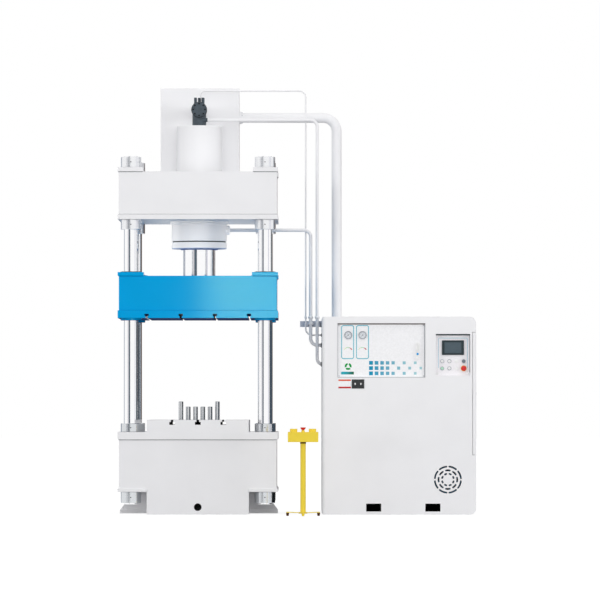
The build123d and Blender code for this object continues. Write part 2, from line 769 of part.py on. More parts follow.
def main_cylinder():
    """Forged cylinder: slim upper barrel, bearing ring, thick lower barrel, side port."""
    shoulder = CROWN_Z - CYL_RING_T
    head = CYL_TOP_Z - CYL_HEAD_T
    edge = 6.0
    points = [
        (CYL_BORE / 2, CYL_LOW_Z), (CYL_LOW_OD / 2 - edge, CYL_LOW_Z), (CYL_LOW_OD / 2, CYL_LOW_Z + edge),
        (CYL_LOW_OD / 2, shoulder), (CYL_RING_OD / 2, shoulder), (CYL_RING_OD / 2, CROWN_Z),
        (CYL_OD / 2, CROWN_Z),
        (CYL_OD / 2, CYL_TOP_Z - edge), (CYL_OD / 2 - edge, CYL_TOP_Z), (HEAD_PORT_DIA / 2, CYL_TOP_Z),
        (HEAD_PORT_DIA / 2, head), (CYL_BORE / 2, head),
    ]
    body = turned(points)
    port_z = CROWN_Z - PORT_Z_DOWN
    out = CYL_LOW_OD / 2 + PORT_BOSS_L
    boss = chamfer(bar_x(PORT_BOSS_DIA, CYL_BORE / 2 + 20, out, 0, port_z).edges().sort_by(Axis.X)[-1:], 8)
    body += boss
    return body - bar_x(PORT_BORE, CYL_BORE / 2 - 10, out + 1, 0, port_z)


def gland_bolt_places():
    """Plan position of each gland screw."""
    return [(x, y) for x, y, _ in on_circle(GLAND_BOLT_R, GLAND_BOLTS, 15.0)]


def cylinder_gland():
    """Gland that closes the cylinder and guides the rod, with wells for its screws."""
    bore = ROD_DIA / 2 + RUN_FIT
    low = CYL_LOW_Z - GLAND_H
    edge = 6.0
    spigot = CYL_BORE / 2 - SEAT_FIT
    points = [
        (bore, low), (CYL_LOW_OD / 2 - edge, low), (CYL_LOW_OD / 2, low + edge),
        (CYL_LOW_OD / 2, CYL_LOW_Z - GLAND_GROOVE), (GLAND_NECK_OD / 2, CYL_LOW_Z - GLAND_GROOVE),
        (GLAND_NECK_OD / 2, CYL_LOW_Z), (spigot, CYL_LOW_Z), (spigot, CYL_LOW_Z + GLAND_SPIGOT_H),
        (bore, CYL_LOW_Z + GLAND_SPIGOT_H),
    ]
    well = GLAND_BOLT_DIA + 2 * FREE_GAP
    wells = [post(well, low - 1, low + GLAND_BOLT_SUNK, x, y) for x, y in gland_bolt_places()]
    return turned(points) - wells


def piston_rod():
    """Piston and rod forging, seated in the slide."""
    low = SLIDE_TOP_Z - ROD_SEAT
    piston_low = PISTON_TOP_Z - PISTON_H
    radius = CYL_BORE / 2 - RUN_FIT
    groove = 6.0
    ring_h = 18.0
    mid = (PISTON_TOP_Z + piston_low) / 2
    points = [
        (0, low), (ROD_DIA / 2, low), (ROD_DIA / 2, piston_low), (radius, piston_low),
        (radius, mid - ring_h), (radius - groove, mid - ring_h), (radius - groove, mid + ring_h),
        (radius, mid + ring_h), (radius, PISTON_TOP_Z), (0, PISTON_TOP_Z),
    ]
    return turned(points)


def prefill_valve():
    """Prefill valve: upright body, cross body with two flanges, pilot block with caps."""
    z0 = CYL_TOP_Z
    body = post(VALVE_OD, z0, z0 + VALVE_H)
    body += bar_y(NECK_DIA, -VALVE_FRONT, VALVE_BACK, 0, VALVE_AXIS_Z)
    body += bar_y(VALVE_FLANGE_DIA, -VALVE_FRONT, -VALVE_FRONT + VALVE_FLANGE_T, 0, VALVE_AXIS_Z)
    body += bar_y(VALVE_FLANGE_DIA, VALVE_BACK - VALVE_FLANGE_T, VALVE_BACK, 0, VALVE_AXIS_Z)
    top = z0 + VALVE_H
    half = VALVE_TOP_W / 2
    body += block(-half, half, -VALVE_TOP_D / 2, VALVE_TOP_D / 2, top, top + VALVE_TOP_H)
    reach = half - PRONG_DIA / 2
    prongs = [(-reach, -20), (0, 14), (reach, -20), (-reach, 20), (reach, 20)]
    for x, y in prongs:
        cap = post(PRONG_DIA, top + VALVE_TOP_H, top + VALVE_TOP_H + PRONG_H, x, y)
        body += chamfer(cap.edges().sort_by(Axis.Z)[-1:], 3)
    spigot_z = z0 + VALVE_PIPE_UP
    body += bar_x(VALVE_PIPE_DIA + UNION_GROW, 0, VALVE_OD / 2 + SPIGOT_L, VALVE_PIPE_Y, spigot_z)
    return body - post(HEAD_PORT_DIA, z0 - 1, z0 + VALVE_H / 2)


def prefill_cover():
    """Blind cover on the front flange of the prefill valve."""
    cover = bar_y(COVER_DIA, -VALVE_FRONT - COVER_T, -VALVE_FRONT, 0, VALVE_AXIS_Z)
    return chamfer(cover.edges().sort_by(Axis.Y)[:1], 4)


def flange_bolts():
    """Cap screws of the valve cover and of the cylinder gland."""
    bolts = []
    face = -VALVE_FRONT - COVER_T
    for x, z, _ in on_circle(COVER_BOLT_R, COVER_BOLTS):
        bolts.append(bar_y(BOLT_HEAD_DIA, face - BOLT_HEAD_H, face, x, VALVE_AXIS_Z + z))
    seat = CYL_LOW_Z - GLAND_H + GLAND_BOLT_SUNK
    return bolts + [post(GLAND_BOLT_DIA, seat - GLAND_BOLT_H, seat, x, y) for x, y in gland_bolt_places()]


def filling_tank():
    """Sheet tank behind the cylinder with its suction neck and return flange."""
    x = TANK_W / 2
    front = TANK_BACK - TANK_D
    outer = block(-x, x, front, TANK_BACK, CROWN_TOP_Z, CROWN_TOP_Z + TANK_H)
    outer = fillet(outer.edges().filter_by(Axis.Z), TANK_EDGE_R)
    inner = block(-x + TANK_T, x - TANK_T, front + TANK_T, TANK_BACK - TANK_T,
                  CROWN_TOP_Z + TANK_T, CROWN_TOP_Z + TANK_H - TANK_T)
    neck = bar_y(NECK_DIA, VALVE_BACK, front + TANK_T / 2, 0, VALVE_AXIS_Z)
    neck += bar_y(VALVE_FLANGE_DIA, VALVE_BACK, VALVE_BACK + VALVE_FLANGE_T, 0, VALVE_AXIS_Z)
    port_z = CROWN_TOP_Z + TANK_PORT_UP
    flange = bar_x(TANK_FLANGE_DIA, x - TANK_T / 2, x + TANK_FLANGE_T, TANK_PORT_BACK, port_z)
    tank = outer - inner + neck + flange
    tank -= bar_y(NECK_DIA - 2 * TANK_T, VALVE_BACK - 1, front + TANK_T + 1, 0, VALVE_AXIS_Z)
    bore = RETURN_DIA - 2 * RETURN_WALL
    return tank - bar_x(bore, x - TANK_T - 1, x + TANK_FLANGE_T + 1, TANK_PORT_BACK, port_z)


def pipe(points, radii, dia, wall):
    """A bent tube along straight runs joined by arcs."""
    path = FilletPolyline(*points, radius=radii)
    start = Plane(path @ 0, z_dir=path % 0)
    solid = sweep(start * Circle(dia / 2), path)
    return solid - sweep(start * Circle(dia / 2 - wall), path)


def return_pipe():
    """Large pipe from the filling tank down through the cabinet roof to the oil tank."""
    z = CROWN_TOP_Z + TANK_PORT_UP
    y = TANK_PORT_BACK
    start = TANK_W / 2 + TANK_FLANGE_T
    points = [(start, y, z), (RETURN_X, y, z), (RETURN_X, y, OIL_TOP)]
    return pipe(points, RETURN_R, RETURN_DIA, RETURN_WALL)


def side_pipe(start, x, y, in_z, radii, dia):
    """A pipe that runs right at its start height, drops at x and enters the cabinet wall."""
    z = start[2]
    points = [start, (x, y, z), (x, y, in_z), (MANIFOLD_X0, y, in_z)]
    return pipe(points, radii, dia, PIPE_WALL)


def valve_pipe():
    """Pipe from the prefill valve to the manifold."""
    start = (VALVE_OD / 2 + SPIGOT_L, VALVE_PIPE_Y, CYL_TOP_Z + VALVE_PIPE_UP)
    radii = [VALVE_PIPE_R, VALVE_PIPE_IN_R]
    return side_pipe(start, VALVE_PIPE_X, VALVE_PIPE_Y, VALVE_PIPE_IN_Z, radii, VALVE_PIPE_DIA)


def pressure_pipe():
    """Pipe from the cylinder's side port to the manifold."""
    start = (CYL_LOW_OD / 2 + PORT_BOSS_L, 0.0, CROWN_Z - PORT_Z_DOWN)
    radii = [MAIN_PIPE_R, MAIN_PIPE_R]
    return side_pipe(start, MAIN_PIPE_X, 0.0, MAIN_PIPE_IN_Z, radii, MAIN_PIPE_DIA)


def pilot_pipe():
    """Thin pilot pipe from the valve's top block to the manifold."""
    low = CYL_TOP_Z + VALVE_H + VALVE_TOP_H
    high = CYL_TOP_Z + PILOT_TOP_UP
    y = PILOT_Y
    points = [(PILOT_START_X, y, low), (PILOT_START_X, y, high), (PILOT_X, y, high),
              (PILOT_X, y, PILOT_IN_Z), (MANIFOLD_X0, y, PILOT_IN_Z)]
    return pipe(points, [PILOT_START_R, PILOT_R, PILOT_R], PILOT_DIA, PIPE_WALL)


def union_nut(x, y, z, dia, grow=UNION_GROW):
    """A pipe union: wide ring with coned shoulders, slipped over a pipe."""
    outer = dia / 2 + grow
    neck = dia / 2 + grow / 3
    bore = dia / 2 + SEAT_FIT
    half = UNION_H / 2
    points = [(bore, -half), (neck, -half), (outer, -half / 3), (outer, half / 2), (neck, half),
              (bore, half)]
    return Pos(x, y, z) * turned(points)


def pipe_unions():
    """Unions on the three upright pipes."""
    return [
        union_nut(VALVE_PIPE_X, VALVE_PIPE_Y, UNION_Z, VALVE_PIPE_DIA),
        union_nut(MAIN_PIPE_X, 0.0, UNION_Z, MAIN_PIPE_DIA),
        union_nut(MAIN_PIPE_X, 0.0, LOW_UNION_Z, MAIN_PIPE_DIA),
        union_nut(PILOT_X, PILOT_Y, UNION_Z, PILOT_DIA, PILOT_UNION_GROW),
    ]


def pipe_bracket():
    """Bar on the cabinet's side with a saddle block behind each pipe."""
    z1 = BRACKET_Z0 + BRACKET_H
    bar = block(BRACKET_X0, CAB_X0, BRACKET_Y, BRACKET_Y + BRACKET_T, BRACKET_Z0, z1)
    bar += block(CAB_X0 - BRACKET_T, CAB_X0, BRACKET_Y - BRACKET_AHEAD, BRACKET_Y + BRACKET_BACK,
                 BRACKET_Z0, z1)
    places = [(VALVE_PIPE_X, VALVE_PIPE_Y, VALVE_PIPE_DIA), (PILOT_X, PILOT_Y, PILOT_DIA)]
    places.append((MAIN_PIPE_X, 0.0, MAIN_PIPE_DIA + 2 * UNION_GROW))
    for x, y, dia in places:
        half = dia / 2 + SADDLE_MARGIN
        bar += block(x - half, x + half, y, BRACKET_Y, BRACKET_Z0, BRACKET_Z0 + SADDLE_H)
        bar -= post(dia + 2 * SEAT_FIT, BRACKET_Z0 - 1, z1 + 1, x, y)
    return bar


def cushion_z():
    """Height of the cushion plate's top at rest."""
    return BED_Z - BED_T - CUSHION_TOP_GAP


def ejector_cylinder():
    """Ejector cylinder that stands on the base's floor plate."""
    top = cushion_z() - CUSHION_T - EJ_STROKE - EJ_STOP
    low = FLOOR_T
    bore = EJ_ROD / 2 + RUN_FIT
    points = [
        (0, low), (EJ_OD / 2 + 20, low), (EJ_OD / 2 + 20, low + 25), (EJ_OD / 2, low + 25), (EJ_OD / 2, top),
        (bore, top), (bore, top - EJ_CAP_T), (EJ_BORE / 2, top - EJ_CAP_T), (EJ_BORE / 2, low + EJ_CAP_T),
        (0, low + EJ_CAP_T),
    ]
    return turned(points)


def ejector_rod():
    """Piston and rod of the ejector."""
    top = cushion_z() - CUSHION_T
    head_top = top - EJ_STROKE - EJ_STOP - EJ_CAP_T - EJ_STOP
    radius = EJ_BORE / 2 - RUN_FIT
    points = [(0, head_top - EJ_HEAD_T), (radius, head_top - EJ_HEAD_T), (radius, head_top),
              (EJ_ROD / 2, head_top), (EJ_ROD / 2, top), (0, top)]
    return turned(points)


def cushion_plate():
    """Plate on the ejector rod that carries the pins."""
    x, y = pin_field(0)
    top = cushion_z()
    plate = block(-x, x, -y, y, top - CUSHION_T, top)
    return chamfer(plate.edges().filter_by(Axis.Z), 8)


def cushion_pins():
    """Loose ejector pins on the cushion plate, the outer columns taller."""
    pins = []
    for x, y, tall in pin_places():
        top = TABLE_Z + (PIN_TALL if tall else PIN_SHORT)
        pin = post(PIN_DIA, cushion_z(), top, x, y)
        pins.append(chamfer(pin.edges().sort_by(Axis.Z)[-1:], 2))
    return pins


def cabinet_form(inset):
    """The cabinet's outer form, or the form set in by a wall: front outline crossed with plan outline."""
    w, h, d = CAB_W - 2 * inset, CAB_H - 2 * inset, CAB_D - 2 * inset
    outline = fillet(Rectangle(w, h).vertices().group_by(Axis.X)[0], CAB_R_LEFT - inset)
    for low, radius in ((True, CAB_R_LOW_RIGHT), (False, CAB_R_TOP_RIGHT)):
        right = [v for v in outline.vertices() if abs(v.X - w / 2) < 0.01 and (v.Y < 0) == low]
        outline = fillet(right, radius - inset)
    middle = Pos(CAB_X0 + CAB_W / 2, CAB_FRONT + CAB_D / 2, CAB_H / 2)
    front = extrude(Plane.XZ * outline, d / 2, both=True)
    plan = Rectangle(w, d)
    plan = fillet(plan.vertices().group_by(Axis.X)[0].sort_by(Axis.Y)[:1], CAB_EDGE_R - inset)
    return middle * (front & extrude(plan, h, both=True))


def arc_slot(radius, half_angle, turn):
    """One rounded slot of the grille, bent along its ring."""
    width = GRILLE_SLOT_W / 2
    inner = radius - width
    outer = radius + width
    reach = half_angle - degrees(asin(width / radius))
    sector = Circle(outer) - Circle(inner)
    far = outer * 2
    a0, a1 = radians(turn - reach), radians(turn + reach)
    ends = [(far * cos(a), far * sin(a)) for a in (a0, a1)]
    wedge = make_face(Polyline((0, 0), *ends, close=True))
    slot = sector & wedge
    for angle in (a0, a1):
        slot += Pos(radius * cos(angle), radius * sin(angle)) * Circle(width)
    return slot


def grille_cuts():
    """The rings of slots in front of the fan."""
    front = Plane(origin=(GRILLE_X, CAB_FRONT, GRILLE_Z), x_dir=(1, 0, 0), z_dir=(0, -1, 0))
    cuts = []
    for ring, (radius, half_angle) in enumerate(GRILLE_RINGS):
        start = 22.5 if ring % 2 == 0 else 0.0
        for _, _, angle in on_circle(radius, GRILLE_SLOTS, start):
            cuts.append(extrude(front * arc_slot(radius, half_angle, angle), 2 * CAB_T, both=True))
    return cuts


def fork_centres():
    """Middle of each fork pocket."""
    return (FORK_MID_X - FORK_PITCH / 2, FORK_MID_X + FORK_PITCH / 2)


def hinge_middles():
    """Heights of the door's two hinges."""
    return (DOOR_Z0 + HINGE_IN, DOOR_Z0 + DOOR_H - HINGE_IN)


def hinge_axis():
    """Plan position of the door's hinge axis."""
    return CAB_X1 + HINGE_OUT, DOOR_REAR


def recess(body, x0, width, z0, height, depth):
    """Opens a tray-shaped recess in the cabinet front."""
    t = TRAY_T
    body += block(x0 - t, x0 + width + t, CAB_FRONT + CAB_T / 2, CAB_FRONT + depth + SHEET_T + t,
                  z0 - t, z0 + height + t)
    return body - block(x0, x0 + width, CAB_FRONT - 1, CAB_FRONT + depth + SHEET_T, z0, z0 + height)


def cabinet_shell():
    """Sheet cabinet with recesses, fork pockets, fan grille, door opening and hinge halves."""
    body = cabinet_form(0) - cabinet_form(CAB_T)
    inside = block(CAB_X0 + CAB_T / 2, CAB_X1 - CAB_T / 2, CAB_FRONT + CAB_T / 2, CAB_BACK - CAB_T / 2,
                   CAB_FLOOR_Z - CAB_T, CAB_FLOOR_Z)
    body += inside
    for x in fork_centres():
        half = FORK_W / 2 + FORK_WALL
        body += block(x - half, x + half, CAB_FRONT + 1, CAB_BACK - 1,
                      FORK_Z - FORK_WALL, FORK_Z + FORK_H + FORK_WALL)
    for x in fork_centres():
        body -= block(x - FORK_W / 2, x + FORK_W / 2, CAB_FRONT - 1, CAB_BACK + 1, FORK_Z, FORK_Z + FORK_H)
    body = recess(body, PANEL_X0, PANEL_W, PANEL_Z0, PANEL_H, PANEL_DEPTH)
    body = recess(body, OP_X0, OP_W, OP_Z0, OP_H, OP_DEPTH)
    body -= door_opening()
    body -= grille_cuts()
    body += post(COLLAR_DIA, CAB_H - CAB_T / 2, CAB_H + COLLAR_H, RETURN_X, TANK_PORT_BACK)
    through = RETURN_DIA + 2 * SEAT_FIT
    body -= post(through, CAB_H - 2 * CAB_T, CAB_H + COLLAR_H + 1, RETURN_X, TANK_PORT_BACK)
    walls = [(VALVE_PIPE_Y, VALVE_PIPE_IN_Z, VALVE_PIPE_DIA), (0.0, MAIN_PIPE_IN_Z, MAIN_PIPE_DIA),
             (PILOT_Y, PILOT_IN_Z, PILOT_DIA)]
    for y, z, dia in walls:
        body -= bar_x(dia + HOLE_GROW, CAB_X0 - 1, CAB_X0 + CAB_T + 1, y, z)
    body -= block(BRK_X0 - FREE_GAP, BRK_X0 + BRK_W + FREE_GAP, CAB_FRONT - 1, CAB_FRONT + CAB_T + 1,
                  BRK_Z0 - FREE_GAP, BRK_Z0 + BRK_H + FREE_GAP)
    for y, z in button_places(0) + button_places(1):
        body -= bar_y(STOP_COLLAR, OP_FACE - 1, OP_FACE + SHEET_T + TRAY_T + 1, y, z)
    for z in hinge_middles():
        body += hinge_half(z, fixed=True)
    return body


def hinge_half(z, fixed):
    """Half a butt hinge: the cabinet's half below with its pin, the door's half above."""
    x, y = hinge_axis()
    low, high = (z - HINGE_H / 2, z) if fixed else (z + HINGE_STEP, z + HINGE_H / 2)
    side = 1 if fixed else -1
    edge = y + side * HINGE_LEAF
    y0, y1 = min(y, edge), max(y, edge)
    leaf = block(CAB_X1, CAB_X1 + HINGE_LEAF_T, y0, y1, low, high)
    web = block(CAB_X1, x, y - HINGE_LEAF_T / 2, y + HINGE_LEAF_T / 2, low, high)
    half = leaf + web + post(2 * HINGE_R, low, high, x, y)
    pin_top = z + HINGE_H / 2 - 5
    if fixed:
        return half + post(2 * HINGE_PIN_R, z - 10, pin_top, x, y)
    return half - post(2 * (HINGE_PIN_R + RUN_FIT), z - 1, pin_top + 2, x, y)


def door_opening():
    """The space the side door fills, cut from the cabinet's side and front."""
    y0 = CAB_FRONT - 1
    z0, z1 = DOOR_Z0, DOOR_Z0 + DOOR_H
    side = block(CAB_X1 - DOOR_WRAP, CAB_X1 + 1, y0, DOOR_REAR, z0, z1)
    return side - block(CAB_X1 - DOOR_WRAP - 1, CAB_X1 - CAB_T - 1, CAB_FRONT + CAB_T + 1, DOOR_REAR + 1,
                        z0 - 1, z1 + 1)


def side_door():
    """Folded door on the cabinet's side whose front edge wraps onto the front."""
    z0, z1 = DOOR_Z0 + DOOR_GAP, DOOR_Z0 + DOOR_H - DOOR_GAP
    x0 = CAB_X1 - DOOR_WRAP + DOOR_GAP
    rear = DOOR_REAR - DOOR_GAP
    door = block(x0, CAB_X1, CAB_FRONT, rear, z0, z1)
    door = fillet(door.edges().filter_by(Axis.Z).group_by(Axis.Y)[0].sort_by(Axis.X)[-1:], DOOR_EDGE_R)
    door -= block(x0 - 1, CAB_X1 - DOOR_T, CAB_FRONT + DOOR_T, rear + 1, z0 - 1, z1 + 1)
    hollow = block(x0 + DOOR_SHEET, CAB_X1 - DOOR_SHEET, CAB_FRONT + DOOR_SHEET, rear - DOOR_SHEET,
                   z0 + DOOR_SHEET, z1 - DOOR_SHEET)
    corner = hollow.edges().filter_by(Axis.Z).group_by(Axis.Y)[0].sort_by(Axis.X)[-1:]
    door -= fillet(corner, DOOR_EDGE_R - DOOR_SHEET)
    lock_y = CAB_FRONT + DOOR_LOCK_BACK
    lock_z = DOOR_Z0 + DOOR_H / 2
    door += bar_x(DOOR_LOCK_DIA, CAB_X1 - DOOR_SHEET, CAB_X1 + DOOR_LOCK_OUT, lock_y, lock_z)
    half_l, half_w = DOOR_LOCK_SLOT_L / 2, DOOR_LOCK_SLOT_W / 2
    door -= block(CAB_X1 + 1, CAB_X1 + DOOR_LOCK_OUT + 1, lock_y - half_l, lock_y + half_l,
                  lock_z - half_w, lock_z + half_w)
    for z in hinge_middles():
        door += hinge_half(z, fixed=False)
    return door


def gauge_centres():
    """Dial centres on the instrument panel."""
    z = PANEL_TOP - GAUGE_DOWN
    return [(PANEL_X0 + GAUGE_X + i * GAUGE_PITCH, z) for i in range(2)]


def instrument_panel():
    """Panel plate at the back of the recess with two gauge rims and needle posts."""
    g = PLATE_GAP
    panel = block(PANEL_X0 + g, PANEL_X0 + PANEL_W - g, PANEL_FACE, PANEL_FACE + SHEET_T,
                  PANEL_Z0 + g, PANEL_TOP - g)
    for x, z in gauge_centres():
        rim = bar_y(GAUGE_DIA, PANEL_FACE - GAUGE_H, PANEL_FACE, x, z)
        rim = chamfer(rim.edges().sort_by(Axis.Y)[:1], 2.5)
        panel += rim - bar_y(GAUGE_DIA - 2 * GAUGE_RIM, PANEL_FACE - GAUGE_H - 1, PANEL_FACE + 1, x, z)
        panel += bar_y(NEEDLE_PIN, PANEL_FACE - NEEDLE_GAP - NEEDLE_T, PANEL_FACE, x, z)
    return panel


def gauge_needle(index):
    """Gauge needle, resting towards the lower left of its scale."""
    x, z = gauge_centres()[index]
    back = PANEL_FACE - NEEDLE_GAP
    front = back - NEEDLE_T
    hub = bar_y(NEEDLE_HUB, front - 1, back, 0, 0)
    blade = block(-NEEDLE_W / 2, NEEDLE_W / 2, front, back, -NEEDLE_HUB, NEEDLE_L)
    needle = hub + blade - bar_y(NEEDLE_PIN + 2 * RUN_FIT, front, back + 1, 0, 0)
    return Pos(x, 0, z) * Rot(0, -135, 0) * needle


def level_sight():
    """Oil level sight on the instrument panel."""
    x = PANEL_X0 + PANEL_W - LEVEL_IN
    z = PANEL_TOP - LEVEL_Z_DOWN - LEVEL_H
    body = block(x - LEVEL_W / 2, x + LEVEL_W / 2, PANEL_FACE - LEVEL_T, PANEL_FACE, z, z + LEVEL_H)
    body = fillet(body.edges().filter_by(Axis.Y), LEVEL_W / 2 - 1)
    window = block(x - LEVEL_GLASS / 2, x + LEVEL_GLASS / 2, PANEL_FACE - LEVEL_T - 1, PANEL_FACE - 5,
                   z + LEVEL_W, z + LEVEL_H - LEVEL_W / 2)
    return body - fillet(window.edges().filter_by(Axis.Y), LEVEL_GLASS / 2 - 1)


def operator_plate():
    """Plate at the back of the operator recess with rings round the controls."""
    g = PLATE_GAP
    plate = block(OP_X0 + g, OP_X0 + OP_W - g, OP_FACE, OP_FACE + SHEET_T, OP_Z0 + g, OP_TOP - g)
    for row in (0, 1):
        for col, (x, z) in enumerate(button_places(row)):
            if (row, col) == (1, 3):
                plate += bar_y(STOP_COLLAR, OP_FACE - CTRL_RING_H, OP_FACE, x, z)
                plate -= bar_y(STOP_STEM + 2 * FREE_GAP, OP_FACE - 20, OP_FACE + 10, x, z)
            elif col != 2:
                plate += bar_y(CTRL_RING_DIA, OP_FACE - CTRL_RING_H, OP_FACE, x, z)
                hole = KNOB_DIA if col == 3 else CAP_DIA
                plate -= bar_y(hole + 2 * FREE_GAP, OP_FACE - 20, OP_FACE + 1, x, z)
                plate -= bar_y(CAP_STEM + 2 * FREE_GAP, OP_FACE - 20, OP_FACE + 10, x, z)
    return plate


def button_places(row):
    """Centres of one row of controls."""
    z = OP_TOP - CTRL_TOP_DOWN - row * CTRL_PITCH
    return [(OP_X0 + CTRL_X + i * CTRL_PITCH, z) for i in range(4)]


def touch_screen():
    """Touch screen with a raised rim."""
    x0 = OP_X0 + SCREEN_X
    z1 = OP_TOP - SCREEN_DOWN
    case = block(x0, x0 + SCREEN_W, OP_FACE - SCREEN_T, OP_FACE, z1 - SCREEN_H, z1)
    case = fillet(case.edges().filter_by(Axis.Y), 6)
    case = chamfer(case.edges().group_by(Axis.Y)[0], 2)
    m = SCREEN_RIM
    return case - block(x0 + m, x0 + SCREEN_W - m, OP_FACE - SCREEN_T - 1, OP_FACE - SCREEN_T + 1.5,
                        z1 - SCREEN_H + m * 0.8, z1 - m * 0.8)


def panel_lamps():
    """Two indicator lamps with domed lenses."""
    lamps = []
    for row in (0, 1):
        x, z = button_places(row)[2]
        lamp = bar_y(CTRL_RING_DIA, OP_FACE - LAMP_OUT, OP_FACE, x, z)
        lamps.append(fillet(lamp.edges().sort_by(Axis.Y)[:1], 2.5))
    return lamps


def push_button(row, col):
    """A push button cap on its stem."""
    x, z = button_places(row)[col]
    face = OP_FACE - CTRL_RING_H - CAP_OUT
    cap = bar_y(CAP_DIA, face, OP_FACE - CAP_TRAVEL - SEAT_FIT, x, z)
    cap = chamfer(cap.edges().sort_by(Axis.Y)[:1], 1.5)
    return cap + bar_y(CAP_STEM, OP_FACE - CAP_TRAVEL - 1, OP_FACE + CAP_STEM_L, x, z)


def selector_knob():
    """Selector switch knob with a grip bar."""
    x, z = button_places(0)[3]
    face = OP_FACE - CTRL_RING_H - KNOB_H
    knob = bar_y(KNOB_DIA, face, OP_FACE - 1, x, z)
    bar = block(x - KNOB_BAR_W / 2, x + KNOB_BAR_W / 2, face - KNOB_BAR_OUT, face,
                z - KNOB_DIA / 2, z + KNOB_DIA / 2)
    knob += chamfer(bar.edges().group_by(Axis.Y)[0], 1.5) & bar_y(KNOB_DIA, face - 20, face + 1, x, z)
    return knob + bar_y(CAP_STEM, OP_FACE - 2, OP_FACE + CAP_STEM_L, x, z)


def mushroom(dia, cap_h, stem_dia, stem_l):
    """A mushroom head that widens upwards on a stem, standing on z = 0."""
    r = dia / 2
    crown = 4.0
    profile = [(0, -stem_l), (stem_dia / 2, -stem_l), (stem_dia / 2, 0), (r * 0.62, 0),
               (r - 1, cap_h - crown), (r, cap_h - crown + 1), (r * 0.85, cap_h), (0, cap_h)]
    return turned(profile)


def panel_stop_button():
    """Red stop button of the operator panel."""
    x, z = button_places(1)[3]
    front = OP_FACE - STOP_OUT
    head = Rot(90, 0, 0) * mushroom(STOP_DIA, STOP_CAP_H, STOP_STEM, STOP_OUT - STOP_CAP_H + CAP_STEM_L)
    return Pos(x, front + STOP_CAP_H, z) * head


def breaker_places():
    """Middle of each breaker toggle."""
    x = BRK_X0 + BRK_W / 2
    z = BRK_Z0 + BRK_H / 2
    return [(x - BRK_PITCH / 2, z), (x + BRK_PITCH / 2, z)]


def breaker_plate():
    """Black breaker housing let into the cabinet front, with two toggle wells."""
    x1 = BRK_X0 + BRK_W
    body = block(BRK_X0, x1, CAB_FRONT - BRK_OUT, CAB_FRONT + BRK_IN, BRK_Z0, BRK_Z0 + BRK_H)
    body = chamfer(body.edges().group_by(Axis.Y)[0], 1.5)
    face = CAB_FRONT - BRK_OUT
    for x, z in breaker_places():
        half = TOGGLE_W / 2 + FREE_GAP
        body -= bar_x(2 * (TOGGLE_R + FREE_GAP), x - half, x + half, face, z)
        pin_r = TOGGLE_PIN / 2 + RUN_FIT
        reach = TOGGLE_W / 2 + TOGGLE_PIN_L + FREE_GAP
        groove = bar_x(2 * pin_r, x - reach, x + reach, face + TOGGLE_PIN, z)
        body -= groove
    return body


def breaker_lever(index):
    """Breaker toggle: round hub in its well with a thumb tab."""
    x, z = breaker_places()[index]
    face = CAB_FRONT - BRK_OUT
    y = face + TOGGLE_PIN
    hub = bar_x(2 * (TOGGLE_R - TOGGLE_PIN), x - TOGGLE_W / 2, x + TOGGLE_W / 2, y, z)
    lever = hub + block(x - TOGGLE_W / 2, x + TOGGLE_W / 2, y - TOGGLE_TAB_R, y,
                        z - TOGGLE_TAB_T / 2, z + TOGGLE_TAB_T / 2)
    reach = TOGGLE_W / 2 + TOGGLE_PIN_L
    return lever + bar_x(TOGGLE_PIN, x - reach, x + reach, y, z)


def oil_tank():
    """Welded oil tank with an overhanging lid and a breather."""
    z0, z1 = CAB_FLOOR_Z, CAB_FLOOR_Z + OIL_H
    y1 = OIL_Y0 + OIL_D
    t = OIL_T
    tank = block(OIL_X0, OIL_X1, OIL_Y0, y1, z0, z1)
    tank -= block(OIL_X0 + t, OIL_X1 - t, OIL_Y0 + t, y1 - t, z0 + t, z1 - t)
    o = OIL_LID_OUT
    tank += block(OIL_X0 - o, OIL_X1 + o, OIL_Y0 - o, y1 + o, z1 - t / 2, OIL_TOP)
    breather = post(BREATHER_DIA, OIL_TOP - 1, OIL_TOP + BREATHER_H, OIL_X1 - BREATHER_IN, y1 - BREATHER_IN)
    return tank + breather


def motor_axis_parts():
    """Stations along the motor axis: cowl front, motor front, motor rear, bell rear."""
    cowl = MOTOR_Y0 - COWL_L
    rear = MOTOR_Y0 + MOTOR_L
    return cowl, MOTOR_Y0, rear, rear + BELL_L


def motor_housing():
    """Finned motor body with a fan cowl, end flange and feet."""
    cowl, front, rear, _ = motor_axis_parts()
    x, z = GRILLE_X, GRILLE_Z
    body = bar_y(MOTOR_DIA, front, rear - MOTOR_FLANGE_T, x, z)
    fin_r = (MOTOR_DIA + MOTOR_FIN_H) / 2
    fin_l = rear - front - 2 * (MOTOR_FLANGE_T + FIN_END_GAP)
    for u, v, angle in on_circle(fin_r, MOTOR_FINS, 9.0):
        fin = Box(MOTOR_FIN_H + 2 * FIN_LAP, fin_l, MOTOR_FIN_T)
        body += Pos(x + u, (front + rear) / 2, z + v) * Rot(0, -angle, 0) * fin
    body += bar_y(MOTOR_FLANGE_DIA, rear - MOTOR_FLANGE_T, rear, x, z)
    cowl_dia = MOTOR_FLANGE_DIA
    skirt = bar_y(cowl_dia, cowl, front + COWL_LAP, x, z)
    skirt -= bar_y(cowl_dia - 2 * COWL_T, cowl - 1, front + COWL_LAP + 1, x, z)
    body += skirt + bar_y(cowl_dia - COWL_T, front, front + COWL_LAP, x, z)
    half = MOTOR_FOOT_W / 2
    foot_top = z - MOTOR_DIA / 2 + MOTOR_FOOT_LAP
    for y in (front + MOTOR_FOOT_FRONT, rear - MOTOR_FOOT_REAR):
        body += block(x - half, x + half, y - MOTOR_FOOT_L / 2, y + MOTOR_FOOT_L / 2, CAB_FLOOR_Z, foot_top)
    return body - bar_y(SHAFT_DIA + 2 * RUN_FIT, front - 1, rear + 1, x, z)


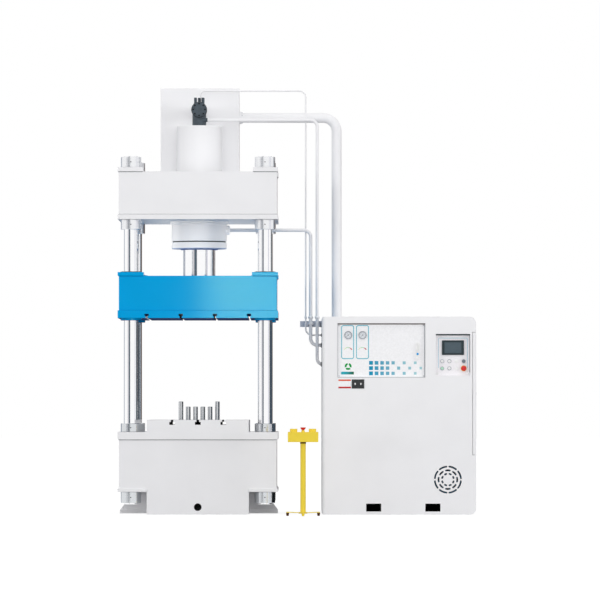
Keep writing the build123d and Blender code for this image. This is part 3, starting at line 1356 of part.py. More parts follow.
def motor_rotor():
    """Motor shaft with its cooling fan and the coupling hub."""
    _, front, rear, _ = motor_axis_parts()
    x, z = GRILLE_X, GRILLE_Z
    fan_y = front - FAN_GAP - FAN_W
    hub_y = rear + COUPLING_GAP
    shaft = bar_y(SHAFT_DIA, fan_y, hub_y + COUPLING_L, x, z)
    body = shaft + bar_y(FAN_HUB, fan_y, fan_y + FAN_W, x, z)
    blade_l = (FAN_DIA - FAN_HUB) / 2 + FAN_BLADE_LAP
    for u, v, angle in on_circle(FAN_HUB / 2 - FAN_BLADE_LAP + blade_l / 2, FAN_BLADES):
        blade = Box(blade_l, FAN_W, FAN_BLADE_T)
        body += Pos(x + u, fan_y + FAN_W / 2, z + v) * Rot(0, -angle, 0) * Rot(30, 0, 0) * blade
    return body + bar_y(COUPLING_DIA, hub_y, hub_y + COUPLING_L, x, z)


def pump():
    """Pump with the bell housing that carries it on the motor flange."""
    _, _, rear, bell = motor_axis_parts()
    x, z = GRILLE_X, GRILLE_Z
    bell_body = bar_y(MOTOR_FLANGE_DIA - BELL_STEP, rear, bell, x, z)
    bell_body += bar_y(MOTOR_FLANGE_DIA, rear, rear + BELL_RIM, x, z)
    bell_body -= bar_y(COUPLING_DIA + COUPLING_CLEAR, rear - 1, bell - BELL_WALL, x, z)
    body = bell_body + bar_y(PUMP_DIA, bell - 1, bell + PUMP_L, x, z)
    body += bar_y(PUMP_DIA + PUMP_COLLAR_GROW, bell + PUMP_COLLAR_Y0, bell + PUMP_COLLAR_Y1, x, z)
    half, top = PUMP_PORT_W / 2, z + PUMP_DIA / 2 + PUMP_PORT_UP
    return body + block(x - half, x + half, bell + PUMP_PORT_Y0, bell + PUMP_PORT_Y1, z, top)


def manifold_y():
    """Front and rear of the valve manifold."""
    middle = (VALVE_PIPE_Y + PILOT_Y) / 2
    return middle - MANIFOLD_D / 2, middle + MANIFOLD_D / 2


def valve_manifold():
    """Valve block that stands on the oil tank and takes the three pipes."""
    y0, y1 = manifold_y()
    top = PILOT_IN_Z + MANIFOLD_TOP_MARGIN
    body = block(MANIFOLD_X0, MANIFOLD_X0 + MANIFOLD_W, y0, y1, OIL_TOP, top)
    return chamfer(body.edges().filter_by(Axis.Z), 4)


def solenoid_valves():
    """Directional valves with their coils on the manifold's right side."""
    y0, y1 = manifold_y()
    x = MANIFOLD_X0 + MANIFOLD_W
    span = (PILOT_IN_Z - OIL_TOP) / COIL_COUNT
    valves = []
    for i in range(COIL_COUNT):
        z = OIL_TOP + (i + 0.5) * span
        front, back = y0 + COIL_BODY_IN, y1 - COIL_BODY_IN
        body = block(x, x + COIL_BODY_W, front, back, z - COIL_BODY_H / 2, z + COIL_BODY_H / 2)
        body += bar_y(COIL_W, front - COIL_L / 2, back + COIL_L / 2, x + COIL_BODY_W / 2, z)
        valves.append(body)
    return valves


def control_gear():
    """Mounting plate with rows of contactor blocks, on the oil tank's side."""
    x = OIL_X1
    z0 = OIL_TOP - OIL_LID_T - GEAR_PLATE_H - GEAR_DOWN
    y0 = OIL_Y0 + (OIL_D - GEAR_PLATE_W) / 2
    body = block(x, x + GEAR_PLATE_T, y0, y0 + GEAR_PLATE_W, z0, z0 + GEAR_PLATE_H)
    pitch_y = GEAR_PLATE_W / GEAR_BLOCKS
    pitch_z = GEAR_PLATE_H / GEAR_ROWS
    front = x + GEAR_PLATE_T
    for row in range(GEAR_ROWS):
        z = z0 + (row + 0.5) * pitch_z
        body += block(front - 1, front + GEAR_RAIL_T, y0 + GEAR_RAIL_IN, y0 + GEAR_PLATE_W - GEAR_RAIL_IN,
                      z - GEAR_RAIL_H / 2, z + GEAR_RAIL_H / 2)
        for i in range(GEAR_BLOCKS):
            y = y0 + (i + 0.5) * pitch_y
            half_w, half_h = GEAR_BLOCK_W / 2, GEAR_BLOCK_H / 2
            body += block(front, front + GEAR_BLOCK_T, y - half_w, y + half_w, z - half_h, z + half_h)
    return body


def stand_leg():
    """One arched flat leg of the stand, reaching along +X."""
    z = LEG_Z + LEG_T
    top = [(0, z), (LEG_REACH / 2, z + LEG_RISE * 0.7), (LEG_REACH, z + LEG_RISE)]
    upper = Spline(*top)
    lower = Spline(*[(x, up - LEG_T) for x, up in top])
    sides = [Line(lower @ 0, upper @ 0), Line(lower @ 1, upper @ 1)]
    return extrude(Plane.XZ * make_face([upper, lower] + sides), LEG_W / 2, both=True)


def stand_base():
    """Four-legged foot of the control stand with its post socket."""
    leg = stand_leg()
    body = post(STAND_HUB_DIA, LEG_Z, LEG_Z + LEG_T + 6)
    for turn in (0, 90, 180, 270):
        body += Rot(0, 0, turn) * leg
    return Pos(STAND_X, STAND_Y, 0) * body


def stand_feet():
    """Coned rubber feet under the leg tips."""
    low, top = STAND_FOOT_LOW / 2, STAND_FOOT_TOP / 2
    seat = LEG_Z + LEG_RISE * 0.86
    reach = LEG_REACH - STAND_FOOT_TOP / 2 + 2
    foot = turned([(0, 0), (low, 0), (top, seat - 8), (top, seat - 2), (top - 2, seat), (0, seat)])
    foot -= Pos(-reach, 0, 0) * stand_leg()
    feet = []
    for turn in (0, 90, 180, 270):
        feet.append(Pos(STAND_X, STAND_Y, 0) * Rot(0, 0, turn) * Pos(reach, 0, 0) * foot)
    return feet


def stand_post():
    """Tube post with the collar under the box."""
    low = LEG_Z + LEG_T + 6
    body = post(POST_DIA, low, STAND_BOX_Z)
    body += post(STAND_COLLAR_DIA, STAND_BOX_Z - STAND_COLLAR_H, STAND_BOX_Z)
    body -= post(POST_DIA - 2 * POST_WALL, low - 1, STAND_BOX_Z - STAND_COLLAR_H)
    return Pos(STAND_X, STAND_Y, 0) * body


def stand_box():
    """Control box with two palm button guards and the stop button neck."""
    body = block(-STAND_BOX_W / 2, STAND_BOX_W / 2, -STAND_BOX_D / 2, STAND_BOX_D / 2, STAND_BOX_Z, STAND_TOP)
    body = fillet(body.edges(), STAND_BOX_R)
    for x in (-PALM_X, PALM_X):
        body += post(GUARD_DIA, STAND_TOP - 1, STAND_TOP + GUARD_H, x)
        body -= post(GUARD_DIA - 2 * GUARD_WALL, STAND_TOP, STAND_TOP + GUARD_H + 1, x)
        body -= post(PALM_STEM + 2 * FREE_GAP, STAND_TOP - PALM_STEM_L - PALM_TRAVEL - 2, STAND_TOP + 1, x)
    body += post(NECK_STOP_DIA, STAND_TOP - 1, STAND_TOP + NECK_STOP_H)
    body -= post(STAND_STOP_STEM + 2 * FREE_GAP, STAND_TOP - PALM_STEM_L - 8, STAND_TOP + NECK_STOP_H + 1)
    return Pos(STAND_X, STAND_Y, 0) * body


def palm_button(side):
    """Palm button inside its guard."""
    low = STAND_TOP + PALM_TRAVEL
    cap = post(PALM_DIA, low, STAND_TOP + PALM_H)
    cap = fillet(cap.edges().sort_by(Axis.Z)[-1:], 5)
    cap += post(PALM_STEM, STAND_TOP - PALM_STEM_L, low + 1)
    return Pos(STAND_X + side * PALM_X, STAND_Y, 0) * cap


def stand_stop_button():
    """Red mushroom stop button on the stand."""
    neck = STAND_TOP + NECK_STOP_H
    stem = NECK_STOP_H + PALM_STEM_L + STOP_TRAVEL - 6
    head = mushroom(STAND_STOP_DIA, STAND_STOP_H, STAND_STOP_STEM, stem)
    return Pos(STAND_X, STAND_Y, neck + STOP_TRAVEL) * head


def write(name, shape):
    """Writes one node's STEP file, from one solid or a list of like solids."""
    solids = shape if isinstance(shape, list) else [shape]
    flat = [s for one in solids for s in one.solids()]
    export_step(Compound(children=flat) if len(flat) > 1 else flat[0], f"parts/{name}.step")


def main():
    """Builds and writes every node."""
    os.makedirs("parts", exist_ok=True)
    for name, (sx, sy) in CORNERS.items():
        write(f"column_{name}", column(sx, sy))
    fixed = (base_frame, work_table, crown_nuts, base_nuts, crown_frame, main_cylinder, cylinder_gland,
             flange_bolts, prefill_valve, prefill_cover, filling_tank, return_pipe, valve_pipe, pressure_pipe,
             pilot_pipe, pipe_unions, pipe_bracket, ejector_cylinder, cabinet_shell, instrument_panel,
             level_sight, touch_screen, operator_plate, panel_lamps, breaker_plate, oil_tank, motor_housing, pump,
             valve_manifold, solenoid_valves, control_gear, stand_base, stand_post, stand_box, stand_feet)
    moving = (slide_beam, slide_bushes, piston_rod, cushion_plate, cushion_pins, ejector_rod, selector_knob,
              panel_stop_button, stand_stop_button, side_door, motor_rotor)
    for build in fixed + moving:
        write(build.__name__, build())
    for row, side in ((0, "top"), (1, "low")):
        write(f"push_button_{side}_left", push_button(row, 0))
        write(f"push_button_{side}_right", push_button(row, 1))
    for index, side in enumerate(("left", "right")):
        write(f"breaker_lever_{side}", breaker_lever(index))
        write(f"gauge_needle_{side}", gauge_needle(index))
        write(f"palm_button_{side}", palm_button(2 * index - 1))


main()
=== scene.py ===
"""Looks of a four-column hydraulic press, its power cabinet and its control stand, over the CAD frame."""
import logging
from collections.abc import Callable
from dataclasses import dataclass
from enum import Enum
from math import cos, pi, radians, sin

import bmesh
import bpy
import numpy as np
from mathutils import Matrix, Vector


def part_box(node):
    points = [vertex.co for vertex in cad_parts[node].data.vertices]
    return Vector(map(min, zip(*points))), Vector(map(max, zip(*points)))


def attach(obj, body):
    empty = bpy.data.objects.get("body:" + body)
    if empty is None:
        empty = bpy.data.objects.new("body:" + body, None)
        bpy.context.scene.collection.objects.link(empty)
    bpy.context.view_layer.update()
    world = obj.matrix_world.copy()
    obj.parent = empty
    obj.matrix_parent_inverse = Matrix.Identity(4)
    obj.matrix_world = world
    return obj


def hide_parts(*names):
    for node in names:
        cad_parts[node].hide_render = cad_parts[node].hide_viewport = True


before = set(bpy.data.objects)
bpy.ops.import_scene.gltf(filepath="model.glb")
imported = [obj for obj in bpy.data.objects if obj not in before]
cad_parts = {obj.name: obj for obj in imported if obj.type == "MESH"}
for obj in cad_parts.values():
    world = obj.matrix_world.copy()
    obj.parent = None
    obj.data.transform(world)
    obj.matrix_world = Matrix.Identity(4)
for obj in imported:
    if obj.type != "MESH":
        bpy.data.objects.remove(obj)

LOG = logging.getLogger("press")
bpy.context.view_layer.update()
MM = 0.001
ROOT = "machine"
# Axes of a corner or a box
X, Y, Z = 0, 1, 2
# Slack in millimetres for picking faces by where they lie
SLACK = 0.5
# Signs of the press's four corners
CORNERS = ((-1, -1), (-1, 1), (1, -1), (1, 1))
# Legs of the fillets in millimetres: box on plate, corner pads, thin lips, lines of painted shade
BOX_LEG, PAD_LEG, LIP_LEG, LINE_LEG = 9.0, 8.0, 6.0, 4.0
# Length of one weld ripple; real ones are 3 mm, drawn coarser so that they show
RIPPLE = 11.0
# Section of a fillet from one face to the other, with its leg as 1
WELD_SECTION = np.array([(1, -0.08), (0.86, 0.2), (0.56, 0.56), (0.2, 0.86), (-0.08, 1), (-0.08, -0.08)])
# Printed films start this far off the foil, so that the two never share a plane
PRINT_LIFT = 0.05
# A face this far in front of its panel belongs to a ring or a bezel
PROUD = 0.2
# Heads of the screws and caps, across and high
COVER_SCREW, BLOCK_SCREW, GLAND_SCREW, PORT_SCREW = (15, 9), (11, 7), (36, 20), (9, 6)
WIPER_SCREW, PANEL_SCREW, PLATE_SCREW, LID_SCREW = (9, 3.5), (9, 3), (18, 5), (8, 2.5)
SIGHT_CAP = (12, 3)


class Facing(Enum):
    """World directions of a shape's own x, y and z; its z points out of the surface that it sits on."""

    UP = ((1, 0, 0), (0, 1, 0), (0, 0, 1))
    DOWN = ((1, 0, 0), (0, -1, 0), (0, 0, -1))
    FRONT = ((1, 0, 0), (0, 0, 1), (0, -1, 0))
    BACK = ((-1, 0, 0), (0, 0, 1), (0, 1, 0))
    RIGHT = ((0, 1, 0), (0, 0, 1), (1, 0, 0))
    LEFT = ((0, -1, 0), (0, 0, 1), (-1, 0, 0))


class ToolMarks(Enum):
    """The way a cutting or grinding tool left its marks on metal."""

    GROUND_ROUND = "rings round an upright bar, one above the other"
    FACED = "rings round each column axis on a flat end"
    MILLED = "straight lines along the machine's depth"


def linear(hex_code: str) -> tuple:
    """Turns an sRGB hex colour into linear light.

    Args:
        hex_code: six hex digits with a leading hash.
    Returns:
        Red, green, blue and alpha in linear light.
    """
    channels = [int(hex_code[i:i + 2], 16) / 255 for i in (1, 3, 5)]
    return tuple(c / 12.92 if c <= 0.04045 else ((c + 0.055) / 1.055) ** 2.4 for c in channels) + (1.0,)


def darker(colour: tuple, share: float) -> tuple:
    """A linear colour with a share of its light taken off."""
    return tuple(c * (1.0 - share) for c in colour[:3]) + (1.0,)


def add(tree: bpy.types.NodeTree, kind: str, settings: dict, **inputs: object) -> bpy.types.Node:
    """Adds a node, sets its properties, and sets or links its inputs.

    Args:
        tree: the node tree.
        kind: the node's type without its ShaderNode prefix.
        settings: the node's own properties.
        inputs: values or sockets by input name, with _ for a space, or i0, i1 for an input's number.
    Returns:
        The new node.
    """
    node = tree.nodes.new("ShaderNode" + kind)
    for key, value in settings.items():
        setattr(node, key, value)
    for key, value in inputs.items():
        numbered = key[0] == "i" and key[1:].isdigit()
        socket = node.inputs[int(key[1:]) if numbered else key.replace("_", " ")]
        if isinstance(value, bpy.types.NodeSocket):
            tree.links.new(value, socket)
        else:
            socket.default_value = value
    return node


@dataclass(frozen=True)
class Finish:
    """What all finishes share; each adds its own pattern."""

    name: str
    colour: str
    roughness: float = 0.5
    metallic: float = 0.0
    specular: float = 0.5

    def material(self) -> bpy.types.Material:
        """Makes the finish's material once.

        Returns:
            The same material each time.
        """
        made = bpy.data.materials.get(self.name)
        if made:
            return made
        made = bpy.data.materials.new(self.name)
        made.use_nodes = True
        tree = made.node_tree
        shader = tree.nodes["Principled BSDF"]
        shader.inputs["Base Color"].default_value = linear(self.colour)
        shader.inputs["Roughness"].default_value = self.roughness
        shader.inputs["Metallic"].default_value = self.metallic
        shader.inputs["Specular IOR Level"].default_value = self.specular
        self.pattern(tree, shader)
        return made

    def pattern(self, tree: bpy.types.NodeTree, shader: bpy.types.Node) -> None:
        """Adds what makes the surface more than one flat colour."""
        raise NotImplementedError

    def place(self, tree: bpy.types.NodeTree, stretch: tuple = (1.0, 1.0, 1.0)) -> bpy.types.NodeSocket:
        """Reads Object coordinates in millimetres.

        Args:
            tree: the node tree.
            stretch: how much closer a pattern lies along each axis.
        Returns:
            The coordinates' socket.
        """
        coordinates = add(tree, "TexCoord", {})
        size = Vector(stretch) / MM
        return add(tree, "Mapping", {}, Vector=coordinates.outputs["Object"], Scale=size).outputs[0]

    def noise(self, tree: bpy.types.NodeTree, size_mm: float, detail: float = 2.0,
              stretch: tuple = (1.0, 1.0, 1.0)) -> bpy.types.NodeSocket:
        """Noise whose lumps measure about size_mm.

        Args:
            tree: the node tree.
            size_mm: size of a lump on the real surface.
            detail: octaves of finer noise.
            stretch: how much closer the lumps lie along each axis.
        Returns:
            The noise value from 0 to 1.
        """
        where = self.place(tree, stretch)
        return add(tree, "TexNoise", {}, Vector=where, Scale=1.0 / size_mm, Detail=detail).outputs["Fac"]

    def mottle(self, tree: bpy.types.NodeTree, shader: bpy.types.Node, size_mm: float, tone: float,
               sheen: float) -> None:
        """Lets the colour and the roughness drift a little over the surface.

        Args:
            tree: the node tree.
            shader: the principled shader.
            size_mm: size of a patch.
            tone: darkest share taken off the colour.
            sheen: how far the roughness goes up and down.
        """
        patch = self.noise(tree, size_mm, 3.0)
        base = linear(self.colour)
        ramp = add(tree, "ValToRGB", {}, Fac=patch)
        ramp.color_ramp.elements[0].position = 0.35
        ramp.color_ramp.elements[0].color = darker(base, tone)
        ramp.color_ramp.elements[1].position = 0.65
        ramp.color_ramp.elements[1].color = base
        tree.links.new(ramp.outputs["Color"], shader.inputs["Base Color"])
        low, high = max(0.02, self.roughness - sheen), self.roughness + sheen
        drift = add(tree, "MapRange", {}, Value=patch, To_Min=low, To_Max=high)
        tree.links.new(drift.outputs[0], shader.inputs["Roughness"])

    def relief(self, tree: bpy.types.NodeTree, shader: bpy.types.Node, height: bpy.types.NodeSocket,
               depth_mm: float, edge_mm: float = 0.0) -> None:
        """Raises the surface by a height pattern over softly rounded edges.

        Args:
            tree: the node tree.
            shader: the principled shader.
            height: pattern from 0 to 1.
            depth_mm: depth of the pattern.
            edge_mm: radius of the rounded edges, or 0 to leave them.
        """
        bump = add(tree, "Bump", {}, Height=height, Distance=depth_mm * MM, Strength=1.0)
        if edge_mm:
            edge = add(tree, "Bevel", {"samples": 4}, Radius=edge_mm * MM)
            tree.links.new(edge.outputs[0], bump.inputs["Normal"])
        tree.links.new(bump.outputs[0], shader.inputs["Normal"])


@dataclass(frozen=True)
class SprayedEnamel(Finish):
    """Two-pack enamel sprayed on welded steel: orange peel breaks up reflections, and edges look soft."""

    peel_mm: float = 5.0      # real peel is 2 to 3 mm wide; drawn coarser so that it shows
    peel_depth: float = 0.05
    edge_mm: float = 2.5
    tone: float = 0.02

    def pattern(self, tree: bpy.types.NodeTree, shader: bpy.types.Node) -> None:
        """Adds orange peel, rounded edges and a slight drift of the film."""
        self.mottle(tree, shader, 260.0, self.tone, 0.05)
        self.relief(tree, shader, self.noise(tree, self.peel_mm, 1.0), self.peel_depth, self.edge_mm)


@dataclass(frozen=True)
class Casting(Finish):
    """Sand-cast iron under thin paint: the sand's grain and broad hollows show through."""

    grain_mm: float = 3.0

    def pattern(self, tree: bpy.types.NodeTree, shader: bpy.types.Node) -> None:
        """Adds the sand grain over broader hollows."""
        self.mottle(tree, shader, 30.0, 0.25, 0.1)
        self.relief(tree, shader, self.noise(tree, self.grain_mm, 4.0), 0.5, 1.5)


@dataclass(frozen=True)
class CutMetal(Finish):
    """Bare or plated metal with the marks of the tool that finished it."""

    metallic: float = 1.0
    marks: ToolMarks = ToolMarks.GROUND_ROUND
    pitch_mm: float = 1.5     # real marks are a tenth of this; drawn coarser so that they show
    depth_mm: float = 0.002
    streak: float = 0.04
    film_mm: float = 90.0     # size of the patches in the oil film
    axis_at: tuple = (590.0, 590.0)

    def pattern(self, tree: bpy.types.NodeTree, shader: bpy.types.Node) -> None:
        """Adds the tool marks as fine relief and as streaks in the sheen.

        Args:
            tree: the node tree.
            shader: its Principled node.
        """
        if self.marks is ToolMarks.GROUND_ROUND:
            lines = self.noise(tree, self.pitch_mm, 2.0, (0.01, 0.01, 1.0))
        elif self.marks is ToolMarks.MILLED:
            lines = self.noise(tree, self.pitch_mm, 2.0, (1.0, 0.01, 1.0))
        else:
            side = add(tree, "VectorMath", {"operation": "ABSOLUTE"}, i0=self.place(tree))
            centre = (*self.axis_at, 0.0)
            arm = add(tree, "VectorMath", {"operation": "SUBTRACT"}, i0=side.outputs[0], i1=centre)
            flat = add(tree, "VectorMath", {"operation": "MULTIPLY"}, i0=arm.outputs[0], i1=(1.0, 1.0, 0.0))
            ring = add(tree, "VectorMath", {"operation": "LENGTH"}, i0=flat.outputs[0])
            height = add(tree, "SeparateXYZ", {}, i0=side.outputs[0])
            turn = add(tree, "Math", {"operation": "ADD"}, i0=ring.outputs["Value"], i1=height.outputs[2])
            lines = add(tree, "TexNoise", {"noise_dimensions": "1D"}, W=turn.outputs[0],
                        Scale=1.0 / self.pitch_mm, Detail=2.0).outputs["Fac"]
        low, high = max(0.02, self.roughness - self.streak), self.roughness + self.streak
        sheen = add(tree, "MapRange", {}, Value=lines, To_Min=low, To_Max=high)
        tree.links.new(sheen.outputs[0], shader.inputs["Roughness"])
        film = self.noise(tree, self.film_mm, 2.0)
        base = linear(self.colour)
        tint = add(tree, "Mix", {"data_type": "RGBA"}, i0=film, i6=darker(base, 0.04), i7=base)
        tree.links.new(tint.outputs[2], shader.inputs["Base Color"])
        self.relief(tree, shader, lines, self.depth_mm, 0.6)


@dataclass(frozen=True)
class Moulded(Finish):
    """Injection-moulded plastic or rubber with the grain of a spark-eroded mould."""

    grain_mm: float = 1.0     # real grain is about 0.1 mm; drawn coarser so that it shows

    def pattern(self, tree: bpy.types.NodeTree, shader: bpy.types.Node) -> None:
        """Adds the mould grain and a faint mottle."""
        self.mottle(tree, shader, 25.0, 0.05, 0.05)
        self.relief(tree, shader, self.noise(tree, self.grain_mm, 2.0), 0.02, 0.5)


@dataclass(frozen=True)
class Ink(Finish):
    """Screen-printed ink on foil: a slightly raised film with tiny pinholes, which may fade along X."""

    to_colour: str = ""
    x_from: float = 0.0
    x_to: float = 1.0

    def pattern(self, tree: bpy.types.NodeTree, shader: bpy.types.Node) -> None:
        """Adds the film's grain, and the fade from one ink to the next.

        Args:
            tree: the node tree.
            shader: its Principled node.
        """
        self.mottle(tree, shader, 12.0, 0.06, 0.04)
        if self.to_colour:
            along = add(tree, "SeparateXYZ", {}, i0=self.place(tree))
            share = add(tree, "MapRange", {}, Value=along.outputs[0], From_Min=self.x_from,
                        From_Max=self.x_to)
            fade = add(tree, "Mix", {"data_type": "RGBA"}, i0=share.outputs[0], i6=linear(self.colour),
                       i7=linear(self.to_colour))
            tree.links.new(fade.outputs[2], shader.inputs["Base Color"])
        self.relief(tree, shader, self.noise(tree, 0.8, 1.0), 0.01)


@dataclass(frozen=True)
class ClearLens(Finish):
    """Clear polycarbonate lens: only its gloss and a trace of haze show."""

    def pattern(self, tree: bpy.types.NodeTree, shader: bpy.types.Node) -> None:
        """Makes the body nearly invisible and lets faint polishing haze vary the gloss.

        Args:
            tree: the node tree.
            shader: its Principled node.
        """
        shader.inputs["Alpha"].default_value = 0.14
        haze = self.noise(tree, 6.0, 2.0)
        sheen = add(tree, "MapRange", {}, Value=haze, To_Min=0.02, To_Max=0.08)
        tree.links.new(sheen.outputs[0], shader.inputs["Roughness"])


# Enamels: gloss white on the press, satin powder on the cabinet, sky blue slide, safety yellow stand.
# All show a soft highlight broken by orange peel
WHITE = SprayedEnamel("sprayed_enamel_white", "#EAEAEC", 0.32, specular=0.3)
BLUE = SprayedEnamel("sprayed_enamel_sky_blue", "#009CDA", 0.12, specular=0.03)
YELLOW = SprayedEnamel("sprayed_enamel_yellow", "#EFD444", 0.38, specular=0.25)
CABINET_WHITE = SprayedEnamel("powder_coat_satin_white", "#EFEFF1", 0.45, specular=0.3, peel_mm=3.0,
                              edge_mm=3.0)
TANK_GREY = SprayedEnamel("sprayed_enamel_tank_grey", "#A9AEB2", 0.4)
MOTOR_BLUE = SprayedEnamel("sprayed_enamel_motor_blue", "#4A6F8C", 0.4)
# Painted shade: matt black stands in for the shade deep inside the fork pockets
POCKET_SHADE_BLACK = SprayedEnamel("painted_shade_matt_black", "#0B0B0C", 0.85, specular=0.1)
# Painted shade: navy stands in for the shade on the slide's downward faces
UNDERSIDE_SHADE_NAVY = SprayedEnamel("painted_shade_navy", "#1A3E80", 0.8, specular=0.05)
GREY_BLUE = SprayedEnamel("sprayed_enamel_grey_blue", "#B9BFCB", 0.4, specular=0.3)
# Painted shade: a dull blue stands in for the blue-tinted shade under the gland
GLAND_SHADE_BLUE = SprayedEnamel("painted_shade_dull_blue", "#B4BED6", 0.6, specular=0.1)
# Painted shade: dark beads under the lips and along the flanges' edges, dull and a little uneven, so that it
# reads as a drawn line
SHADE_LINE_GREY = SprayedEnamel("painted_shade_line_grey", "#7F8285", 0.7, specular=0.1, peel_mm=9.0,
                            edge_mm=0.5)
SHADE_LINE_BLUE = SprayedEnamel("painted_shade_line_blue", "#0080BE", 0.7, specular=0.05, peel_mm=9.0,
                            edge_mm=0.5)
# Cast iron under slate or grey paint: the sand's grain makes it dull and slightly blotched
SLATE = Casting("cast_iron_slate_paint", "#4A545C", 0.5, specular=0.3)
PUMP_GREY = Casting("cast_iron_grey_paint", "#70767A", 0.55)
# Hard chrome, ground round: nearly a mirror. Other steel parts keep their turning or milling marks
CHROME = CutMetal("hard_chrome_ground", "#FCFCFD", 0.07)
ROD_CHROME = CutMetal("hard_chrome_rod", "#FCFCFD", 0.08)
PIN_STEEL = CutMetal("hardened_steel_ground", "#D2D4D6", 0.16)
NUT_STEEL = CutMetal("bright_steel_turned", "#F2F3F5", 0.28, marks=ToolMarks.FACED, pitch_mm=2.0)
# Painted shade: a darker copy of the nuts' steel for the nuts under the base
SHADED_NUT_STEEL = CutMetal("steel_turned_painted_shade", "#D9DCDF", 0.22, marks=ToolMarks.FACED, pitch_mm=2.0)
TABLE_STEEL = CutMetal("steel_milled", "#B4B7BA", 0.3, marks=ToolMarks.MILLED, pitch_mm=4.0)
DARK_STEEL = CutMetal("steel_black_oxide", "#2A2C2F", 0.35, pitch_mm=3.0)
ZINC = CutMetal("steel_zinc_plated", "#C9CDD2", 0.25, pitch_mm=2.0)
# Painted shade: black on the walls of slots and holes stands in for the shade deep in them
SLOT_SHADE_BLACK = CutMetal("painted_shade_slot_black", "#1A1C1E", 0.6, marks=ToolMarks.MILLED, pitch_mm=4.0)
BRONZE = CutMetal("tin_bronze_turned", "#B98A4A", 0.25, marks=ToolMarks.FACED)
BEZEL_METAL = CutMetal("aluminium_anodised_satin", "#A6AAB2", 0.35, pitch_mm=2.0)
# Plastics keep the fine grain of their moulds, which spreads the highlight
PALE_PLASTIC = Moulded("abs_moulded_pale", "#F2F2F2", 0.35)
MINT_PLASTIC = Moulded("polycarbonate_moulded_mint", "#B4E2C8", 0.3)
GREY_PLASTIC = Moulded("abs_moulded_grey", "#7C858D", 0.45)
BLACK_PLASTIC = Moulded("polyamide_moulded_black", "#1B1D1F", 0.4)
SCREEN_CASE = Moulded("polycarbonate_moulded_slate", "#2E3A3E", 0.4, specular=0.2)
RED_PLASTIC = Moulded("abs_moulded_red", "#D3161C", 0.3)
AMBER_PLASTIC = Moulded("abs_moulded_amber", "#F0B01E", 0.4)
FLOAT_BLUE = Moulded("polypropylene_moulded_blue", "#109CE0", 0.4, specular=0.2)
# Rubber and wipers: matt, with hardly a highlight
BLACK_RUBBER = Moulded("nitrile_rubber_moulded", "#141516", 0.75, specular=0.2)
# Painted shade: brown stands in for the shade under the stand's box and on the stand's side feet
STAND_SHADE_BROWN = Moulded("painted_shade_brown", "#4E2A14", 0.8, specular=0.2)
WIPER = Moulded("polyurethane_moulded_green_black", "#22282A", 0.5)
BLUE_WIPER = Moulded("polyurethane_moulded_blue", "#4E66A0", 0.5)
# Painted shade: dark strips along the recesses' edges, darkest along the tops, matt like the rubber
RECESS_SHADE_WARM = Moulded("painted_shade_warm_grey", "#857D7C", 0.7, specular=0.2)
RECESS_SHADE_SLATE = Moulded("painted_shade_slate", "#4A5759", 0.7, specular=0.2)
RECESS_SHADE_GREY = Moulded("painted_shade_grey", "#ADB0B5", 0.7, specular=0.2)
# Polyester foils and screen inks: flat films with a low even sheen
PANEL_FOIL = Ink("polyester_foil_white", "#F7F7F9", 0.42, specular=0.3)
PLATE_FOIL = Ink("polyester_foil_grey", "#F4F2F5", 0.45, specular=0.3)
DIAL_PAPER = Ink("dial_enamel_pale_blue", "#EFF5FC", 0.35, specular=0.3)
SCALE_INK = Ink("screen_ink_blue_grey", "#76828E", 0.5)
ORANGE_INK = Ink("screen_ink_orange", "#DE4C00", 0.6)
RED_INK = Ink("screen_ink_red", "#BE0810", 0.6)
LIME_INK = Ink("screen_ink_lime", "#D6E8A6", 0.45, specular=0.15)
GREEN_INK = Ink("screen_ink_green", "#A2D8AE", 0.45, specular=0.15)
FRAME_INK = Ink("screen_ink_turquoise", "#4FB8CC", 0.4, specular=0.15)
LINE_INK = Ink("screen_ink_pale_blue", "#8CC8DC", 0.45, specular=0.15)
LEAF_INK = Ink("screen_ink_leaf_green", "#22A04A", 0.42, specular=0.1)
CHEQUER_INK = Ink("screen_ink_aqua_fade", "#0090B6", 0.42, to_colour="#A6D0D6", x_from=1506.0, x_to=1960.0,
                  specular=0.1)
BAR_INK = Ink("screen_ink_green_fade", "#18A3B4", 0.42, to_colour="#0B5A2C", x_from=1285.0, x_to=1370.0)
# Glass of the dark screen, and the gauges' clear lenses, of which only the gloss shows
SCREEN_GLASS = Ink("liquid_crystal_glass", "#515F67", 0.3, specular=0.15)
LENS = ClearLens("polycarbonate_clear", "#FFFFFF", 0.04)


